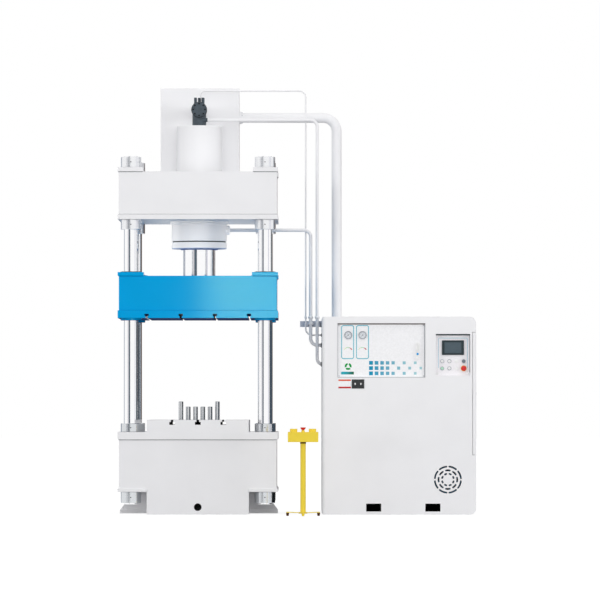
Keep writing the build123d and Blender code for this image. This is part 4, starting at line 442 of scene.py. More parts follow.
class Shape:
    """Quads gathered from surfaces in millimetres and made into one mesh in metres."""

    MERGE = 2e-6              # metres within which points are one
    CREASE = radians(35.0)    # angle past which an edge stays sharp

    def __init__(self) -> None:
        """Starts empty."""
        self.points: list = []
        self.faces: list = []
        self.count = 0

    def grid(self, points: np.ndarray, closed: bool = False) -> "Shape":
        """Adds a grid of points as quads between neighbours; each row runs back into itself.

        Args:
            points: rows by columns by three.
            closed: whether the last row joins the first too.
        Returns:
            The shape itself.
        """
        rows, columns = points.shape[:2]
        index = np.arange(rows * columns).reshape(rows, columns) + self.count
        if closed:
            index = np.vstack([index, index[:1]])
        index = np.hstack([index, index[:, :1]])
        quads = np.stack([index[:-1, :-1], index[:-1, 1:], index[1:, 1:], index[1:, :-1]], -1)
        self.points.append(points.reshape(-1, 3))
        self.faces.append(quads.reshape(-1, 4))
        self.count += rows * columns
        return self

    def build(self, name: str, finish: Finish, body: str = ROOT, slot: str = "",
              stands_for: tuple = ()) -> bpy.types.Object:
        """Makes the object, closes its seams and poles, turns its faces outwards and lets it ride.

        Args:
            name: the piece's name.
            finish: its finish.
            body: the CAD body that it moves with.
            slot: the record's material slot, if it has one; not used.
            stands_for: CAD nodes that it replaces.
        Returns:
            The new object.
        """
        mesh = bpy.data.meshes.new(name)
        points, faces = np.concatenate(self.points) * MM, np.concatenate(self.faces)
        mesh.from_pydata(points.tolist(), [], faces.tolist())
        work = bmesh.new()
        work.from_mesh(mesh)
        bmesh.ops.remove_doubles(work, verts=work.verts, dist=self.MERGE)
        bmesh.ops.recalc_face_normals(work, faces=work.faces)
        work.to_mesh(mesh)
        work.free()
        mesh.shade_smooth()
        mesh.set_sharp_from_angle(angle=self.CREASE)
        mesh.materials.append(finish.material())
        piece = bpy.data.objects.new(name, mesh)
        bpy.context.scene.collection.objects.link(piece)
        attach(piece, body)
        if stands_for:
            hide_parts(*stands_for)
        LOG.info("%s: %d faces on %s", name, len(mesh.polygons), body)
        return piece


def seated(points: np.ndarray, at: tuple, facing: Facing = Facing.UP) -> np.ndarray:
    """Carries points to the world: each times its shape's three directions, plus the shape's place."""
    return points @ np.array(facing.value, float) + np.array(at, float)


def turned(profile: list, at: tuple = (0, 0, 0), facing: Facing = Facing.UP, sides: int = 40) -> np.ndarray:
    """Surface of revolution, round or part hexagonal.

    Each profile point (radius, height, hex) goes round its axis as radius times 1 + hex * (k - 1), where k is
    the radius of a hexagon of apothem 1 at that angle: 1 / cos of what is left after sixty degree steps.

    Args:
        profile: points as (radius, height) or (radius, height, hex share).
        at: place of the shape's own origin.
        facing: where its axis points.
        sides: points round the axis.
    Returns:
        Grid of points, profile by angle.
    """
    rows = np.array([tuple(p) + (0.0,) * (3 - len(p)) for p in profile], float)
    angle = np.linspace(0, 2 * pi, sides, endpoint=False)
    left = np.mod(angle, pi / 3) - pi / 6
    reach = rows[:, :1] * (1 + rows[:, 2:] * (1 / np.cos(left) - 1))
    height = np.broadcast_to(rows[:, 1:2], reach.shape)
    return seated(np.stack([reach * np.cos(angle), reach * np.sin(angle), height], -1), at, facing)


def outline(width: float, height: float, corner: float, inset: float = 0.0, steps: int = 6) -> np.ndarray:
    """Rounded rectangle round the origin: each corner is a quarter circle of radius corner - inset.

    Args:
        width: full width.
        height: full height.
        corner: corner radius.
        inset: how far the outline is set in.
        steps: segments in each corner.
    Returns:
        Points round the outline, by two.
    """
    turn = np.linspace(0, pi / 2, steps + 1)
    starts = np.array([(1, 1, 0), (-1, 1, pi / 2), (-1, -1, pi), (1, -1, 3 * pi / 2)], float)
    angle = starts[:, 2:] + turn
    radius = max(corner - inset, 0.01)
    x = starts[:, :1] * (width / 2 - max(corner, inset)) + radius * np.cos(angle)
    y = starts[:, 1:2] * (height / 2 - max(corner, inset)) + radius * np.sin(angle)
    return np.stack([x.ravel(), y.ravel()], -1)


def slab(width: float, height: float, corner: float, layers: list, at: tuple, facing: Facing) -> np.ndarray:
    """Plate with a shaped edge: its outline is set in and raised layer by layer, and both faces are closed.

    Args:
        width: full width.
        height: full height.
        corner: corner radius.
        layers: (inset, rise) pairs from the back edge to the front edge.
        at: place of the middle of its back.
        facing: where its front looks.
    Returns:
        Grid of points, layer by outline.
    """
    rings = []
    for inset, rise in layers:
        ring = outline(width, height, corner, inset)
        rings.append(np.column_stack([ring, np.full(len(ring), rise)]))
    first, last = rings[0] * (0, 0, 1), rings[-1] * (0, 0, 1)
    return seated(np.array([first, *rings, last]), at, facing)


def swept(path: np.ndarray, section: np.ndarray, side: np.ndarray, lift: np.ndarray,
          scale: np.ndarray) -> np.ndarray:
    """Carries a section along a path: point = station + scale * (u * side + v * lift).

    Args:
        path: stations by three.
        section: section points (u, v).
        side: the section's own x at each station.
        lift: the section's own y at each station.
        scale: size of the section at each station.
    Returns:
        Grid of points, station by section.
    """
    u = section[None, :, :1] * side[:, None, :]
    v = section[None, :, 1:] * lift[:, None, :]
    return path[:, None, :] + scale[:, None, None] * (u + v)


def rounded_route(corners: list, radii: list, step: float = 14.0) -> np.ndarray:
    """Stations along straight runs joined by arcs, all in one plane.

    Each corner is replaced by an arc of its radius that touches both runs: it starts at radius * tan(half the
    turn) before the corner and turns through the angle between the runs.

    Args:
        corners: the route's corner points.
        radii: bend radius at each inner corner.
        step: longest distance between stations on an arc.
    Returns:
        Stations by three.
    """
    points = [np.array(corners[0], float)]
    for before, corner, after, radius in zip(corners[:-2], corners[1:-1], corners[2:], radii):
        inward, outward = np.subtract(corner, before), np.subtract(after, corner)
        inward, outward = inward / np.linalg.norm(inward), outward / np.linalg.norm(outward)
        turn = np.arccos(np.clip(inward @ outward, -1, 1))
        reach = radius * np.tan(turn / 2)
        normal = outward - inward * (inward @ outward)
        normal /= np.linalg.norm(normal)
        centre = np.array(corner, float) - inward * reach + normal * radius
        angle = np.linspace(0, turn, max(6, int(turn * radius / step) + 6))[:, None]
        points.extend(centre - normal * radius * np.cos(angle) + inward * radius * np.sin(angle))
    points.append(np.array(corners[-1], float))
    return np.array(points)


def directions(path: np.ndarray, closed: bool = False) -> np.ndarray:
    """Unit directions along a path: each station's is the difference of its neighbours.

    Args:
        path: stations by three.
        closed: whether the path runs back to its start.
    Returns:
        Directions by three.
    """
    if closed:
        run = np.roll(path, -1, 0) - np.roll(path, 1, 0)
    else:
        run = np.gradient(path, axis=0)
    return run / np.linalg.norm(run, axis=1, keepdims=True)


def tube(corners: list, radii: list, diameter: float, normal: tuple, sides: int = 28) -> np.ndarray:
    """Bent pipe in one plane: a circle carried along the rounded route, closed flat at both ends.

    Args:
        corners: the route's corners.
        radii: bend radii.
        diameter: pipe diameter.
        normal: normal of the plane of the route.
        sides: points round the pipe.
    Returns:
        Grid of points, station by angle.
    """
    path = rounded_route(corners, radii)
    along = directions(path)
    across = np.cross(along, np.array(normal, float))
    flat = np.broadcast_to(np.array(normal, float), path.shape)
    angle = np.linspace(0, 2 * pi, sides, endpoint=False)
    circle = np.stack([np.cos(angle), np.sin(angle)], -1) * diameter / 2
    ends = np.ones(len(path))
    body = swept(path, circle, across, flat, ends)
    shut = swept(path[[0, -1]], circle, across[[0, -1]], flat[[0, -1]], np.zeros(2))
    return np.concatenate([shut[:1], body, shut[1:]])


def rippled(leg: float, along: np.ndarray) -> np.ndarray:
    """Size of a weld along its seam: its leg, up and down by |sin| once a ripple."""
    return leg * (0.9 + 0.12 * np.abs(np.sin(pi * along / RIPPLE)))


def bead(start: tuple, end: tuple, out_a: tuple, out_b: tuple, leg: float = BOX_LEG) -> np.ndarray:
    """Fillet weld along a straight inner edge between two faces.

    The section bulges from one face to the other, its size ripples along the seam, and near both ends it
    falls off with the root of the distance.

    Args:
        start: seam's start.
        end: seam's end.
        out_a: direction along the first face, away from the seam.
        out_b: direction along the second face, away from the seam.
        leg: leg of the fillet.
    Returns:
        Grid of points, station by section.
    """
    start, end = np.array(start, float), np.array(end, float)
    length = np.linalg.norm(end - start)
    share = np.linspace(0, 1, max(8, int(length / RIPPLE * 4)))
    path = start + share[:, None] * (end - start)
    size = rippled(leg, share * length)
    size *= np.clip(np.minimum(share, 1 - share) * length / leg, 0.02, 1) ** 0.5
    side = np.broadcast_to(np.array(out_a, float), path.shape)
    lift = np.broadcast_to(np.array(out_b, float), path.shape)
    return swept(path, WELD_SECTION, side, lift, size)


def ring_bead(radius: float, z: float, up: int, leg: float, stations: int = 480) -> np.ndarray:
    """Fillet weld right round an upright cylinder: the same section carried round a circle.

    Args:
        radius: the cylinder's radius.
        z: height of the plate's face.
        up: 1 where the cylinder stands on the plate, -1 where it hangs from it.
        leg: leg of the fillet.
        stations: points round the seam.
    Returns:
        Grid of points, station by section.
    """
    angle = np.linspace(0, 2 * pi, stations, endpoint=False)
    out = np.stack([np.cos(angle), np.sin(angle), np.zeros_like(angle)], -1)
    lift = np.broadcast_to(np.array((0.0, 0.0, up)), out.shape)
    return swept(out * radius + (0, 0, z), WELD_SECTION, out, lift, rippled(leg, angle * radius))


def square_beads(shape: Shape, half: float, z: float, up: int, leg: float) -> None:
    """Seams right round a square box where it stands on, or hangs from, a wider plate.

    Args:
        shape: shape that takes the seams.
        half: half width of the box.
        z: height of the plate's face.
        up: 1 where the box stands on the plate, -1 where it hangs from it.
        leg: leg of the fillet.
    """
    for sx, sy in ((0, -1), (0, 1), (-1, 0), (1, 0)):
        along = (1 - abs(sx), 1 - abs(sy))
        start = (sx * half - along[0] * half, sy * half - along[1] * half, z)
        end = (sx * half + along[0] * half, sy * half + along[1] * half, z)
        shape.grid(bead(start, end, (sx, sy, 0), (0, 0, up), leg))


def pad_seams(weld: Shape, shade_lines: Shape, inner: float, half: float, z: float) -> None:
    """Welds on the two inner sides of four corner pads, and dark beads of painted shade under their two outer
    lips.

    Args:
        weld: shape that takes the welds.
        shade_lines: shape that takes the lines of painted shade.
        inner: the pads' inner sides from the press's axis.
        half: half width of the box that carries them.
        z: height of the box's top.
    """
    up, down = (0, 0, 1), (0, 0, -1)
    for sx, sy in CORNERS:
        near, far = (sx * inner, sy * inner, z), (sx * half, sy * half, z)
        side, end = (sx * half, sy * inner, z), (sx * inner, sy * half, z)
        weld.grid(bead(near, side, (0, -sy, 0), up, PAD_LEG))
        weld.grid(bead(near, end, (-sx, 0, 0), up, PAD_LEG))
        shade_lines.grid(bead(end, far, (0, sy, 0), down, LIP_LEG))
        shade_lines.grid(bead(side, far, (sx, 0, 0), down, LIP_LEG))


def on_circle(count: int, radius: float, first: float = 0.0) -> list:
    """Points spaced evenly on a circle round the origin.

    Args:
        count: how many.
        radius: the circle's radius.
        first: angle of the first point in degrees.
    Returns:
        Pairs of coordinates.
    """
    angle = np.radians(first + np.arange(count) * 360 / count)
    return list(zip(radius * np.cos(angle), radius * np.sin(angle)))


def printed_line(path: np.ndarray, half: float, rise: float, closed: bool = False) -> np.ndarray:
    """Flat band of ink on an upright front-facing foil: a low box section carried along a path.

    Args:
        path: stations by three.
        half: half width of the band.
        rise: thickness of the film.
        closed: whether the path runs back to its start.
    Returns:
        Grid of points, station by section.
    """
    front = np.broadcast_to(np.array((0.0, -1.0, 0.0)), path.shape)
    side = np.cross(directions(path, closed), front)
    section = np.array([(-half, 0), (-half, rise), (half, rise), (half, 0)])
    return swept(path, section, side, front, np.ones(len(path)))


def printed_arc(centre: tuple, radius: float, turn: tuple, half: tuple, steps: int) -> np.ndarray:
    """Flat arc of ink on an upright front-facing foil, whose width may grow along it.

    Each point is the centre plus (radius + side * half width) times the outward direction, and the film's
    thickness to the front.

    Args:
        centre: the arc's centre.
        radius: its middle radius.
        turn: where it starts and ends, in degrees.
        half: half width at its start and its end.
        steps: stations along it.
    Returns:
        Grid of points, station by section.
    """
    angle = np.radians(np.linspace(*turn, steps))
    out = np.stack([np.cos(angle), np.zeros(steps), np.sin(angle)], -1)
    reach = radius + np.array((-1, -1, 1, 1)) * np.linspace(*half, steps)[:, None]
    front = np.array([(0, 0, 0), (0, -0.3, 0), (0, -0.3, 0), (0, 0, 0)])
    return np.array(centre) + reach[:, :, None] * out[:, None, :] + front


def socket_screw(diameter: float, head: float, at: tuple, facing: Facing, sides: int = 24) -> np.ndarray:
    """Socket head cap screw: a round head with a hexagon socket half its height deep.

    Args:
        diameter: the head's diameter.
        head: the head's height.
        at: middle of the head's seat.
        facing: where the head looks.
        sides: points round the head.
    Returns:
        Grid of points, profile by angle.
    """
    r, s = diameter / 2, diameter * 0.29
    profile = [(0, 0), (r, 0), (r, head * 0.9), (r * 0.93, head), (s * 1.18, head), (s, head * 0.96, 1),
               (s, head * 0.45, 1), (0, head * 0.4)]
    return turned(profile, at, facing, sides)


def pan_screw(diameter: float, head: float, at: tuple, facing: Facing) -> np.ndarray:
    """Pan head screw with a hexagon recess: a low dome that falls into the recess.

    Args:
        diameter: the head's diameter.
        head: the head's height.
        at: middle of the head's seat.
        facing: where the head looks.
    Returns:
        Grid of points, profile by angle.
    """
    r, s = diameter / 2, diameter * 0.22
    profile = [(0, 0), (r, 0), (r, head * 0.35), (r * 0.86, head * 0.75), (r * 0.6, head), (s * 1.1, head),
               (s, head * 0.9, 1), (s, head * 0.35, 1), (0, head * 0.3)]
    return turned(profile, at, facing, 24)


def set_screw(diameter: float, depth: float, at: tuple, facing: Facing) -> np.ndarray:
    """Headless set screw: a flat ring round a hexagon socket, seen at the mouth of its hole.

    Args:
        diameter: the screw's diameter.
        depth: how far it reaches in.
        at: middle of its outer end.
        facing: where that end looks.
    Returns:
        Grid of points, profile by angle.
    """
    r, s = diameter / 2, diameter * 0.26
    profile = [(0, -depth), (r, -depth), (r, -0.6), (r * 0.88, 0), (s * 1.15, 0), (s, -0.3, 1),
               (s, -depth * 0.5, 1), (0, -depth * 0.55)]
    return turned(profile, at, facing, 24)


def dress(node: str, finish: Finish) -> None:
    """Gives a CAD node one finish.

    Args:
        node: the node's name.
        finish: its finish.
    """
    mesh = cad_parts[node].data
    mesh.materials.clear()
    mesh.materials.append(finish.material())


def dress_part(node: str, finish: Finish, chosen: Callable[[np.ndarray, np.ndarray], np.ndarray]) -> None:
    """Gives a second finish to some faces of a dressed CAD node.

    Args:
        node: the node's name.
        finish: the second finish.
        chosen: takes face centres in millimetres and normals as arrays and returns which faces take it.
    """
    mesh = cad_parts[node].data
    count = len(mesh.polygons)
    centres, normals = np.zeros(count * 3), np.zeros(count * 3)
    mesh.polygons.foreach_get("center", centres)
    mesh.polygons.foreach_get("normal", normals)
    index = np.zeros(count, np.int32)
    mesh.polygons.foreach_get("material_index", index)
    mesh.materials.append(finish.material())
    index[chosen(centres.reshape(-1, 3) / MM, normals.reshape(-1, 3))] = len(mesh.materials) - 1
    mesh.polygons.foreach_set("material_index", index)


class Box:
    """Box round a CAD node in millimetres, to the hundredth."""

    def __init__(self, node: str) -> None:
        """Reads a node's box from the frame."""
        low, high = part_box(node)
        self.low = tuple(round(float(v) / MM, 2) for v in low)
        self.high = tuple(round(float(v) / MM, 2) for v in high)

    def middle(self, axis: int) -> float:
        """Middle along one axis."""
        return (self.low[axis] + self.high[axis]) / 2

    def size(self, axis: int) -> float:
        """Length along one axis."""
        return self.high[axis] - self.low[axis]


# Boxes that other sizes are taken from
BASE, BASE_NUTS = Box("base_frame"), Box("base_nuts")
TABLE, COLUMN = Box("work_table"), Box("column_front_right")
CROWN, CROWN_NUTS = Box("crown_frame"), Box("crown_nuts")
SLIDE, GLAND = Box("slide_beam"), Box("cylinder_gland")
COVER, TANK = Box("prefill_cover"), Box("filling_tank")
MANIFOLD, CABINET = Box("valve_manifold"), Box("cabinet_shell")
PANEL, SIGHT = Box("instrument_panel"), Box("level_sight")
PLATE, SCREEN, STOP = Box("operator_plate"), Box("touch_screen"), Box("panel_stop_button")
STAND = Box("stand_box")


@dataclass
class PressFrame:
    """Base, table, crown, columns and nuts."""

    column_at: float = COLUMN.middle(X)
    base_half: float = TABLE.high[Y]
    crown_half: float = 696.5
    lip_top: float = 224.0
    bed_low: float = 659.0
    bed: float = BASE.high[Z]
    table: float = TABLE.high[Z]
    crown_flange: float = 42.0
    crown_top: float = TANK.low[Z]
    pad: float = 220.0
    foot_half: float = 449.0
    hole: float = 60.0
    hole_z: float = 65.0
    grommet: float = 4.0
    # Height of the nuts under the base
    low_nut: float = 99.0
    # Set screw's diameter and length, and how far its end lies under the nut's side
    lock_screw: tuple = (11.6, 6.0, 2.0)

    def dress(self) -> None:
        """Gives the CAD pieces their finishes."""
        dress("base_frame", WHITE)
        dress_part("base_frame", TABLE_STEEL, lambda c, n: (n[:, Z] > 0.9) & (c[:, Z] > self.bed - 1))
        dress("work_table", WHITE)
        dress_part("work_table", TABLE_STEEL, self.machined)
        sunk = self.table - SLACK
        # Painted shade: walls of the slots and holes below the table's top
        dress_part("work_table", SLOT_SHADE_BLACK, lambda c, n: self.machined(c, n) & (c[:, Z] < sunk))
        dress("crown_frame", WHITE)
        for side in ("front_left", "rear_left", "front_right", "rear_right"):
            dress(f"column_{side}", CHROME)
        dress("crown_nuts", NUT_STEEL)
        # Painted shade: the nuts under the base take the darker copy of the steel
        dress("base_nuts", SHADED_NUT_STEEL)

    def machined(self, centres: np.ndarray, _normals: np.ndarray) -> np.ndarray:
        """Faces of the table that are milled: its top, slots and holes, but not its outer sides."""
        outer = [np.abs(centres[:, axis] - edge) < SLACK for axis in (X, Y)
                 for edge in (TABLE.low[axis], TABLE.high[axis])]
        return ~np.any(outer, axis=0)

    def welds(self) -> None:
        """Fillet welds where boxes meet plates, and lines of painted shade along the lips."""
        base, crown, shade_lines = Shape(), Shape(), Shape()
        half, low, up = self.base_half, self.lip_top, (0, 0, 1)
        for sx in (-1, 1):
            edge = sx * half
            base.grid(bead((edge, -half, low), (edge, half, low), (sx, 0, 0), up))
            for sy in (-1, 1):
                start, end = (sx * self.foot_half, sy * half, low), (edge, sy * half, low)
                base.grid(bead(start, end, (0, sy, 0), up, LIP_LEG))
        # Painted shade: a dark bead under the bed plate's lip, and a dark line along the top of the crown's
        # flange
        square_beads(shade_lines, half, self.bed_low, -1, LIP_LEG)
        square_beads(shade_lines, self.crown_half, CROWN.low[Z] + self.crown_flange, 1, LINE_LEG)
        pad_seams(crown, shade_lines, CROWN.high[X] - self.pad, self.crown_half, self.crown_top)
        base.build("base_weld_seams", WHITE, slot="white_paint")
        shade_lines.build("lip_shade_line", SHADE_LINE_GREY, slot="white_paint")
        crown.build("crown_weld_seams", WHITE, slot="white_paint")

    def nut_locks(self) -> None:
        """Set screws in the lock holes of all sixteen nuts."""
        rows = ((CROWN.high[Z], CROWN_NUTS.high[Z]), (CROWN_NUTS.low[Z], CROWN.low[Z]),
                (self.bed, BASE_NUTS.high[Z]), (BASE_NUTS.low[Z], BASE_NUTS.low[Z] + self.low_nut))
        sides = ((Facing.FRONT, 0, -1), (Facing.BACK, 0, 1), (Facing.LEFT, -1, 0), (Facing.RIGHT, 1, 0))
        diameter, long, sunk = self.lock_screw
        reach = CROWN_NUTS.high[X] - self.column_at - sunk
        shape = Shape()
        for low, high in rows:
            for sx, sy in CORNERS:
                for facing, dx, dy in sides:
                    x, y = sx * self.column_at + dx * reach, sy * self.column_at + dy * reach
                    shape.grid(set_screw(diameter, long, (x, y, (low + high) / 2), facing))
        shape.build("nut_set_screws", DARK_STEEL, slot="machined_steel")

    def cable_grommet(self) -> None:
        """Rubber edging in the round cable holes at the front and the back of the base."""
        shape = Shape()
        r, t = self.hole / 2, self.grommet
        profile = [(r - t, -6), (r - t, 1), (r - t + 1, 2.5), (r + 2, 2.5), (r + 3, 1), (r + 3, 0),
                   (r - 0.4, 0), (r - 0.4, -6)]
        for facing, y in ((Facing.FRONT, -self.base_half), (Facing.BACK, self.base_half)):
            shape.grid(turned(profile, (0, y, self.hole_z), facing), closed=True)
        shape.build("cable_hole_grommets", BLACK_RUBBER, slot="rubber")

    def build(self) -> None:
        """Dresses and details the frame."""
        self.dress()
        self.welds()
        self.nut_locks()
        self.cable_grommet()


@dataclass
class Slide:
    """Moving slide with its bushes, rod and wiper rings."""

    half: float = 694.5
    flange_top: float = 1794.0
    top: float = 2099.0
    pad: float = 229.0
    pad_top: float = SLIDE.high[Z]
    face: float = SLIDE.low[Z]
    column_at: float = COLUMN.middle(X)
    column: float = COLUMN.size(X)
    bush: float = 160.0
    # Half width, half depth and height of the room that holds the T-slots
    slot_room: tuple = (400.0, 704.5, 45.0)
    # Space under the wiper's lip, height of its flat, and how far its screws lie outside the bush
    wiper: tuple = (0.4, 6.4, 4.0)

    def dress(self) -> None:
        """Gives the CAD pieces their finishes."""
        dress("slide_beam", BLUE)
        # Painted shade: navy on the downward faces of the slide and of the bushes
        dress_part("slide_beam", UNDERSIDE_SHADE_NAVY, lambda c, n: (n[:, Z] < -0.7) & (c[:, Z] < self.face + 60))
        # Painted shade: walls of the T-slots in the slide's face
        dress_part("slide_beam", SLOT_SHADE_BLACK, self.slots)
        dress("slide_bushes", BLUE)
        dress_part("slide_bushes", UNDERSIDE_SHADE_NAVY, lambda c, n: n[:, Z] < -0.6)
        dress_part("slide_bushes", BRONZE, self.bore)
        dress("piston_rod", ROD_CHROME)

    def slots(self, centres: np.ndarray, normals: np.ndarray) -> np.ndarray:
        """Picks the walls of the T-slots in the slide's face.

        Args:
            centres: face centres in millimetres.
            normals: face normals.
        Returns:
            Which faces are slot walls.
        """
        wide, deep, high = self.slot_room
        inside = (np.abs(centres[:, X]) < wide) & (np.abs(centres[:, Y]) < deep) & (normals[:, Z] < 0.7)
        return inside & (centres[:, Z] > self.face + SLACK) & (centres[:, Z] < self.face + high)

    def bore(self, centres: np.ndarray, _normals: np.ndarray) -> np.ndarray:
        """Faces of the bushes that stay bare bronze: the bore and the end inside the slide."""
        reach = np.hypot(np.abs(centres[:, X]) - self.column_at, np.abs(centres[:, Y]) - self.column_at)
        return (reach < self.column / 2 + 4) | (centres[:, Z] > self.face + 1)

    def welds(self) -> None:
        """Fillet welds of the slide's pads, and lines of painted shade along its lips."""
        shape, shade_lines = Shape(), Shape()
        # Painted shade: a dark blue line along the top of the slide's flange; pad_seams adds more under the
        # pads' lips
        square_beads(shade_lines, self.half, self.flange_top, 1, LINE_LEG)
        pad_seams(shape, shade_lines, SLIDE.high[X] - self.pad, self.half, self.top)
        shape.build("slide_weld_seams", BLUE, "slide", slot="blue_paint")
        shade_lines.build("slide_lip_shade_line", SHADE_LINE_BLUE, "slide", slot="blue_paint")

    def wipers(self) -> None:
        """Wiper rings on the pads, with a lip that runs on each column, and their screws."""
        rings, screws = Shape(), Shape()
        gap, flat, outside = self.wiper
        r, lip = self.bush / 2, self.column / 2 + gap
        profile = [(lip, 4.5), (lip + 2.5, 6.5), (lip + 6, 7), (r + 12, flat), (r + 14, 5), (r + 14, 0),
                   (lip + 3, 0), (lip + 3, 3)]
        for sx, sy in CORNERS:
            x, y = sx * self.column_at, sy * self.column_at
            rings.grid(turned(profile, (x, y, self.pad_top), sides=64), closed=True)
            for dx, dy in on_circle(6, r + outside, 30):
                screws.grid(pan_screw(*WIPER_SCREW, (x + dx, y + dy, self.pad_top + flat), Facing.UP))
        rings.build("column_wipers", WIPER, "slide", slot="rubber")
        screws.build("column_wiper_screws", ZINC, "slide", slot="machined_steel")

    def build(self) -> None:
        """Dresses and details the slide."""
        self.dress()
        self.welds()
        self.wipers()


@dataclass
class Cylinder:
    """Main cylinder, gland, prefill valve and filling tank."""

    low: float = GLAND.low[Z]
    rod: float = 285.0
    gland_r: float = GLAND.high[X]
    neck_r: float = 235.0
    gland_bolt_r: float = 210.0
    well: float = 22.0
    ring_drop: float = 22.0
    crown_top: float = TANK.low[Z]
    barrel: float = 404.0
    axis_z: float = COVER.middle(Z)
    cover_r: float = 53.0
    block_top: float = 3646.0
    block_screw_x: float = 34.0
    tank_half: float = -TANK.low[X]
    tank_front: float = 330.0
    tank_back: float = TANK.high[Y]
    tank_corner: float = 8.0
    port: tuple = (TANK.high[X], 470.0, 3550.0)
    port_bolt_r: float = 50.0

    def dress(self) -> None:
        """Gives the CAD pieces their finishes."""
        for node in ("main_cylinder", "cylinder_gland", "filling_tank"):
            dress(node, WHITE)
        # The seal groove's faces take the seal's black rubber, and all of them are dark as painted shade in
        # the groove
        dress_part("cylinder_gland", BLACK_RUBBER, self.groove)
        # Painted shade: dull blue on the gland's downward faces
        dress_part("cylinder_gland", GLAND_SHADE_BLUE, lambda c, n: (n[:, Z] < -0.5) & (c[:, Z] < self.low + 8))
        for node in ("prefill_valve", "prefill_cover"):
            dress(node, SLATE)

    def groove(self, centres: np.ndarray, _normals: np.ndarray) -> np.ndarray:
        """Faces of the seal groove between the gland and the cylinder."""
        reach = np.hypot(centres[:, X], centres[:, Y])
        return (reach < self.gland_r - SLACK) & (reach > self.neck_r - 1) & (centres[:, Z] > self.low + 50)

    def screws(self) -> None:
        """Cap screws of the valve cover, in place of the plain CAD heads, and of the gland."""
        cover, gland = Shape(), Shape()
        for x, dz in on_circle(8, self.cover_r):
            cover.grid(socket_screw(*COVER_SCREW, (x, COVER.low[Y], self.axis_z + dz), Facing.FRONT))
        for sx in (-1, 1):
            cover.grid(socket_screw(*BLOCK_SCREW, (sx * self.block_screw_x, 0, self.block_top), Facing.UP))
        cover.build("valve_cover_screws", DARK_STEEL, slot="dark_casting", stands_for=("flange_bolts",))
        for x, y in on_circle(12, self.gland_bolt_r, 15):
            gland.grid(socket_screw(*GLAND_SCREW, (x, y, self.low + self.well), Facing.DOWN, 36))
        gland.build("gland_screws", DARK_STEEL, slot="dark_casting")

    def cover_sealant(self) -> None:
        """Dark ring round the valve cover's edge: painted shade where the cover's rim stands off the valve.
        """
        r, deep = COVER.size(X) / 2, COVER.size(Y)
        profile = [(r + 0.2, 0.2), (r + 3.4, 0.2), (r + 2.6, deep * 0.5), (r + 0.2, deep * 0.7)]
        shape = Shape().grid(turned(profile, (0, COVER.high[Y], self.axis_z), Facing.FRONT, 72), closed=True)
        shape.build("valve_cover_shade_ring", BLACK_RUBBER, slot="rubber")

    def rod_wiper(self) -> None:
        """Wiper ring with its lip on the rod, under the gland."""
        r = self.rod / 2 + 0.4
        profile = [(r, 7), (r + 3, 9), (r + 9, 8.5), (r + 22, 8), (r + 24, 6.5), (r + 24, 0), (r + 4, 0),
                   (r + 4, 4)]
        shape = Shape().grid(turned(profile, (0, 0, self.low), Facing.DOWN, 96), closed=True)
        shape.build("rod_wiper", BLUE_WIPER, slot="rubber")

    def welds(self) -> None:
        """Welds of the cylinder and the filling tank on the crown, and of the bearing ring under it."""
        shape, z, up = Shape(), self.crown_top, (0, 0, 1)
        shape.grid(ring_bead(self.barrel / 2, z, 1, BOX_LEG), closed=True)
        shape.grid(ring_bead(self.gland_r, CROWN.low[Z] - self.ring_drop, -1, PAD_LEG), closed=True)
        front, back = self.tank_front + self.tank_corner, self.tank_back - self.tank_corner
        for sx in (-1, 1):
            x = sx * self.tank_half
            shape.grid(bead((x, front, z), (x, back, z), (sx, 0, 0), up, LIP_LEG))
        end = self.tank_half - self.tank_corner
        for y, out in ((self.tank_front, -1), (self.tank_back, 1)):
            shape.grid(bead((-end, y, z), (end, y, z), (0, out, 0), up, LIP_LEG))
        shape.build("cylinder_weld_seams", WHITE, slot="white_paint")

    def tank_fittings(self) -> None:
        """Screws of the return flange on the tank's side."""
        shape = Shape()
        for dy, dz in on_circle(8, self.port_bolt_r, 22.5):
            at = (self.port[0], self.port[1] + dy, self.port[2] + dz)
            shape.grid(socket_screw(*PORT_SCREW, at, Facing.RIGHT))
        shape.build("return_flange_screws", ZINC, slot="machined_steel")

    def build(self) -> None:
        """Dresses and details the cylinder group."""
        self.dress()
        self.screws()
        self.cover_sealant()
        self.rod_wiper()
        self.welds()
        self.tank_fittings()


@dataclass(frozen=True)
class Pipe:
    """One pipe's route in its upright plane."""

    name: str
    y: float
    corners: tuple      # x and z
    radii: tuple        # of the bends
    diameter: float
    sides: int


RETURN_PIPE = Pipe("return_pipe", 470.0, ((TANK.high[X], 3550), (1229, 3550), (1229, 1144)), (122,), 88.9, 44)
# The three smaller pipes end in the manifold's left face
END_X = MANIFOLD.low[X]
SMALL_PIPES = (
    Pipe("valve_pipe", -40.0, ((74, 3504), (1052, 3504), (1052, 1325), (END_X, 1325)),
         (62, 50), 28.0, 28),
    Pipe("pressure_pipe", 0.0, ((273.5, 2522), (994, 2522), (994, 1496), (END_X, 1496)),
         (60, 60), 30.0, 28),
    Pipe("pilot_pipe", 30.0, ((13, 3646), (13, 3767), (950, 3767), (950, 1586), (END_X, 1586)),
         (36, 58, 58), 14.0, 20),
)


@dataclass
class Pipework:
    """Return pipe and the three smaller pipes, drawn again as smooth bends on the CAD routes."""

    pipes: tuple = (RETURN_PIPE, *SMALL_PIPES)

    def build(self) -> None:
        """Makes the four pipes and dresses their unions and bracket."""
        for pipe in self.pipes:
            corners = [(x, pipe.y, z) for x, z in pipe.corners]
            shape = Shape().grid(tube(corners, pipe.radii, pipe.diameter, (0, 1, 0), pipe.sides))
            shape.build(f"{pipe.name}_drawn", WHITE, slot="white_paint", stands_for=(pipe.name,))
        dress("pipe_unions", WHITE)
        dress("pipe_bracket", GREY_BLUE)


@dataclass
class Ejector:
    """Ejector cushion and its pins."""

    def build(self) -> None:
        """Dresses the ejector's pieces."""
        dress("ejector_cylinder", TANK_GREY)
        dress("ejector_rod", ROD_CHROME)
        dress("cushion_plate", TABLE_STEEL)
        dress("cushion_pins", PIN_STEEL)


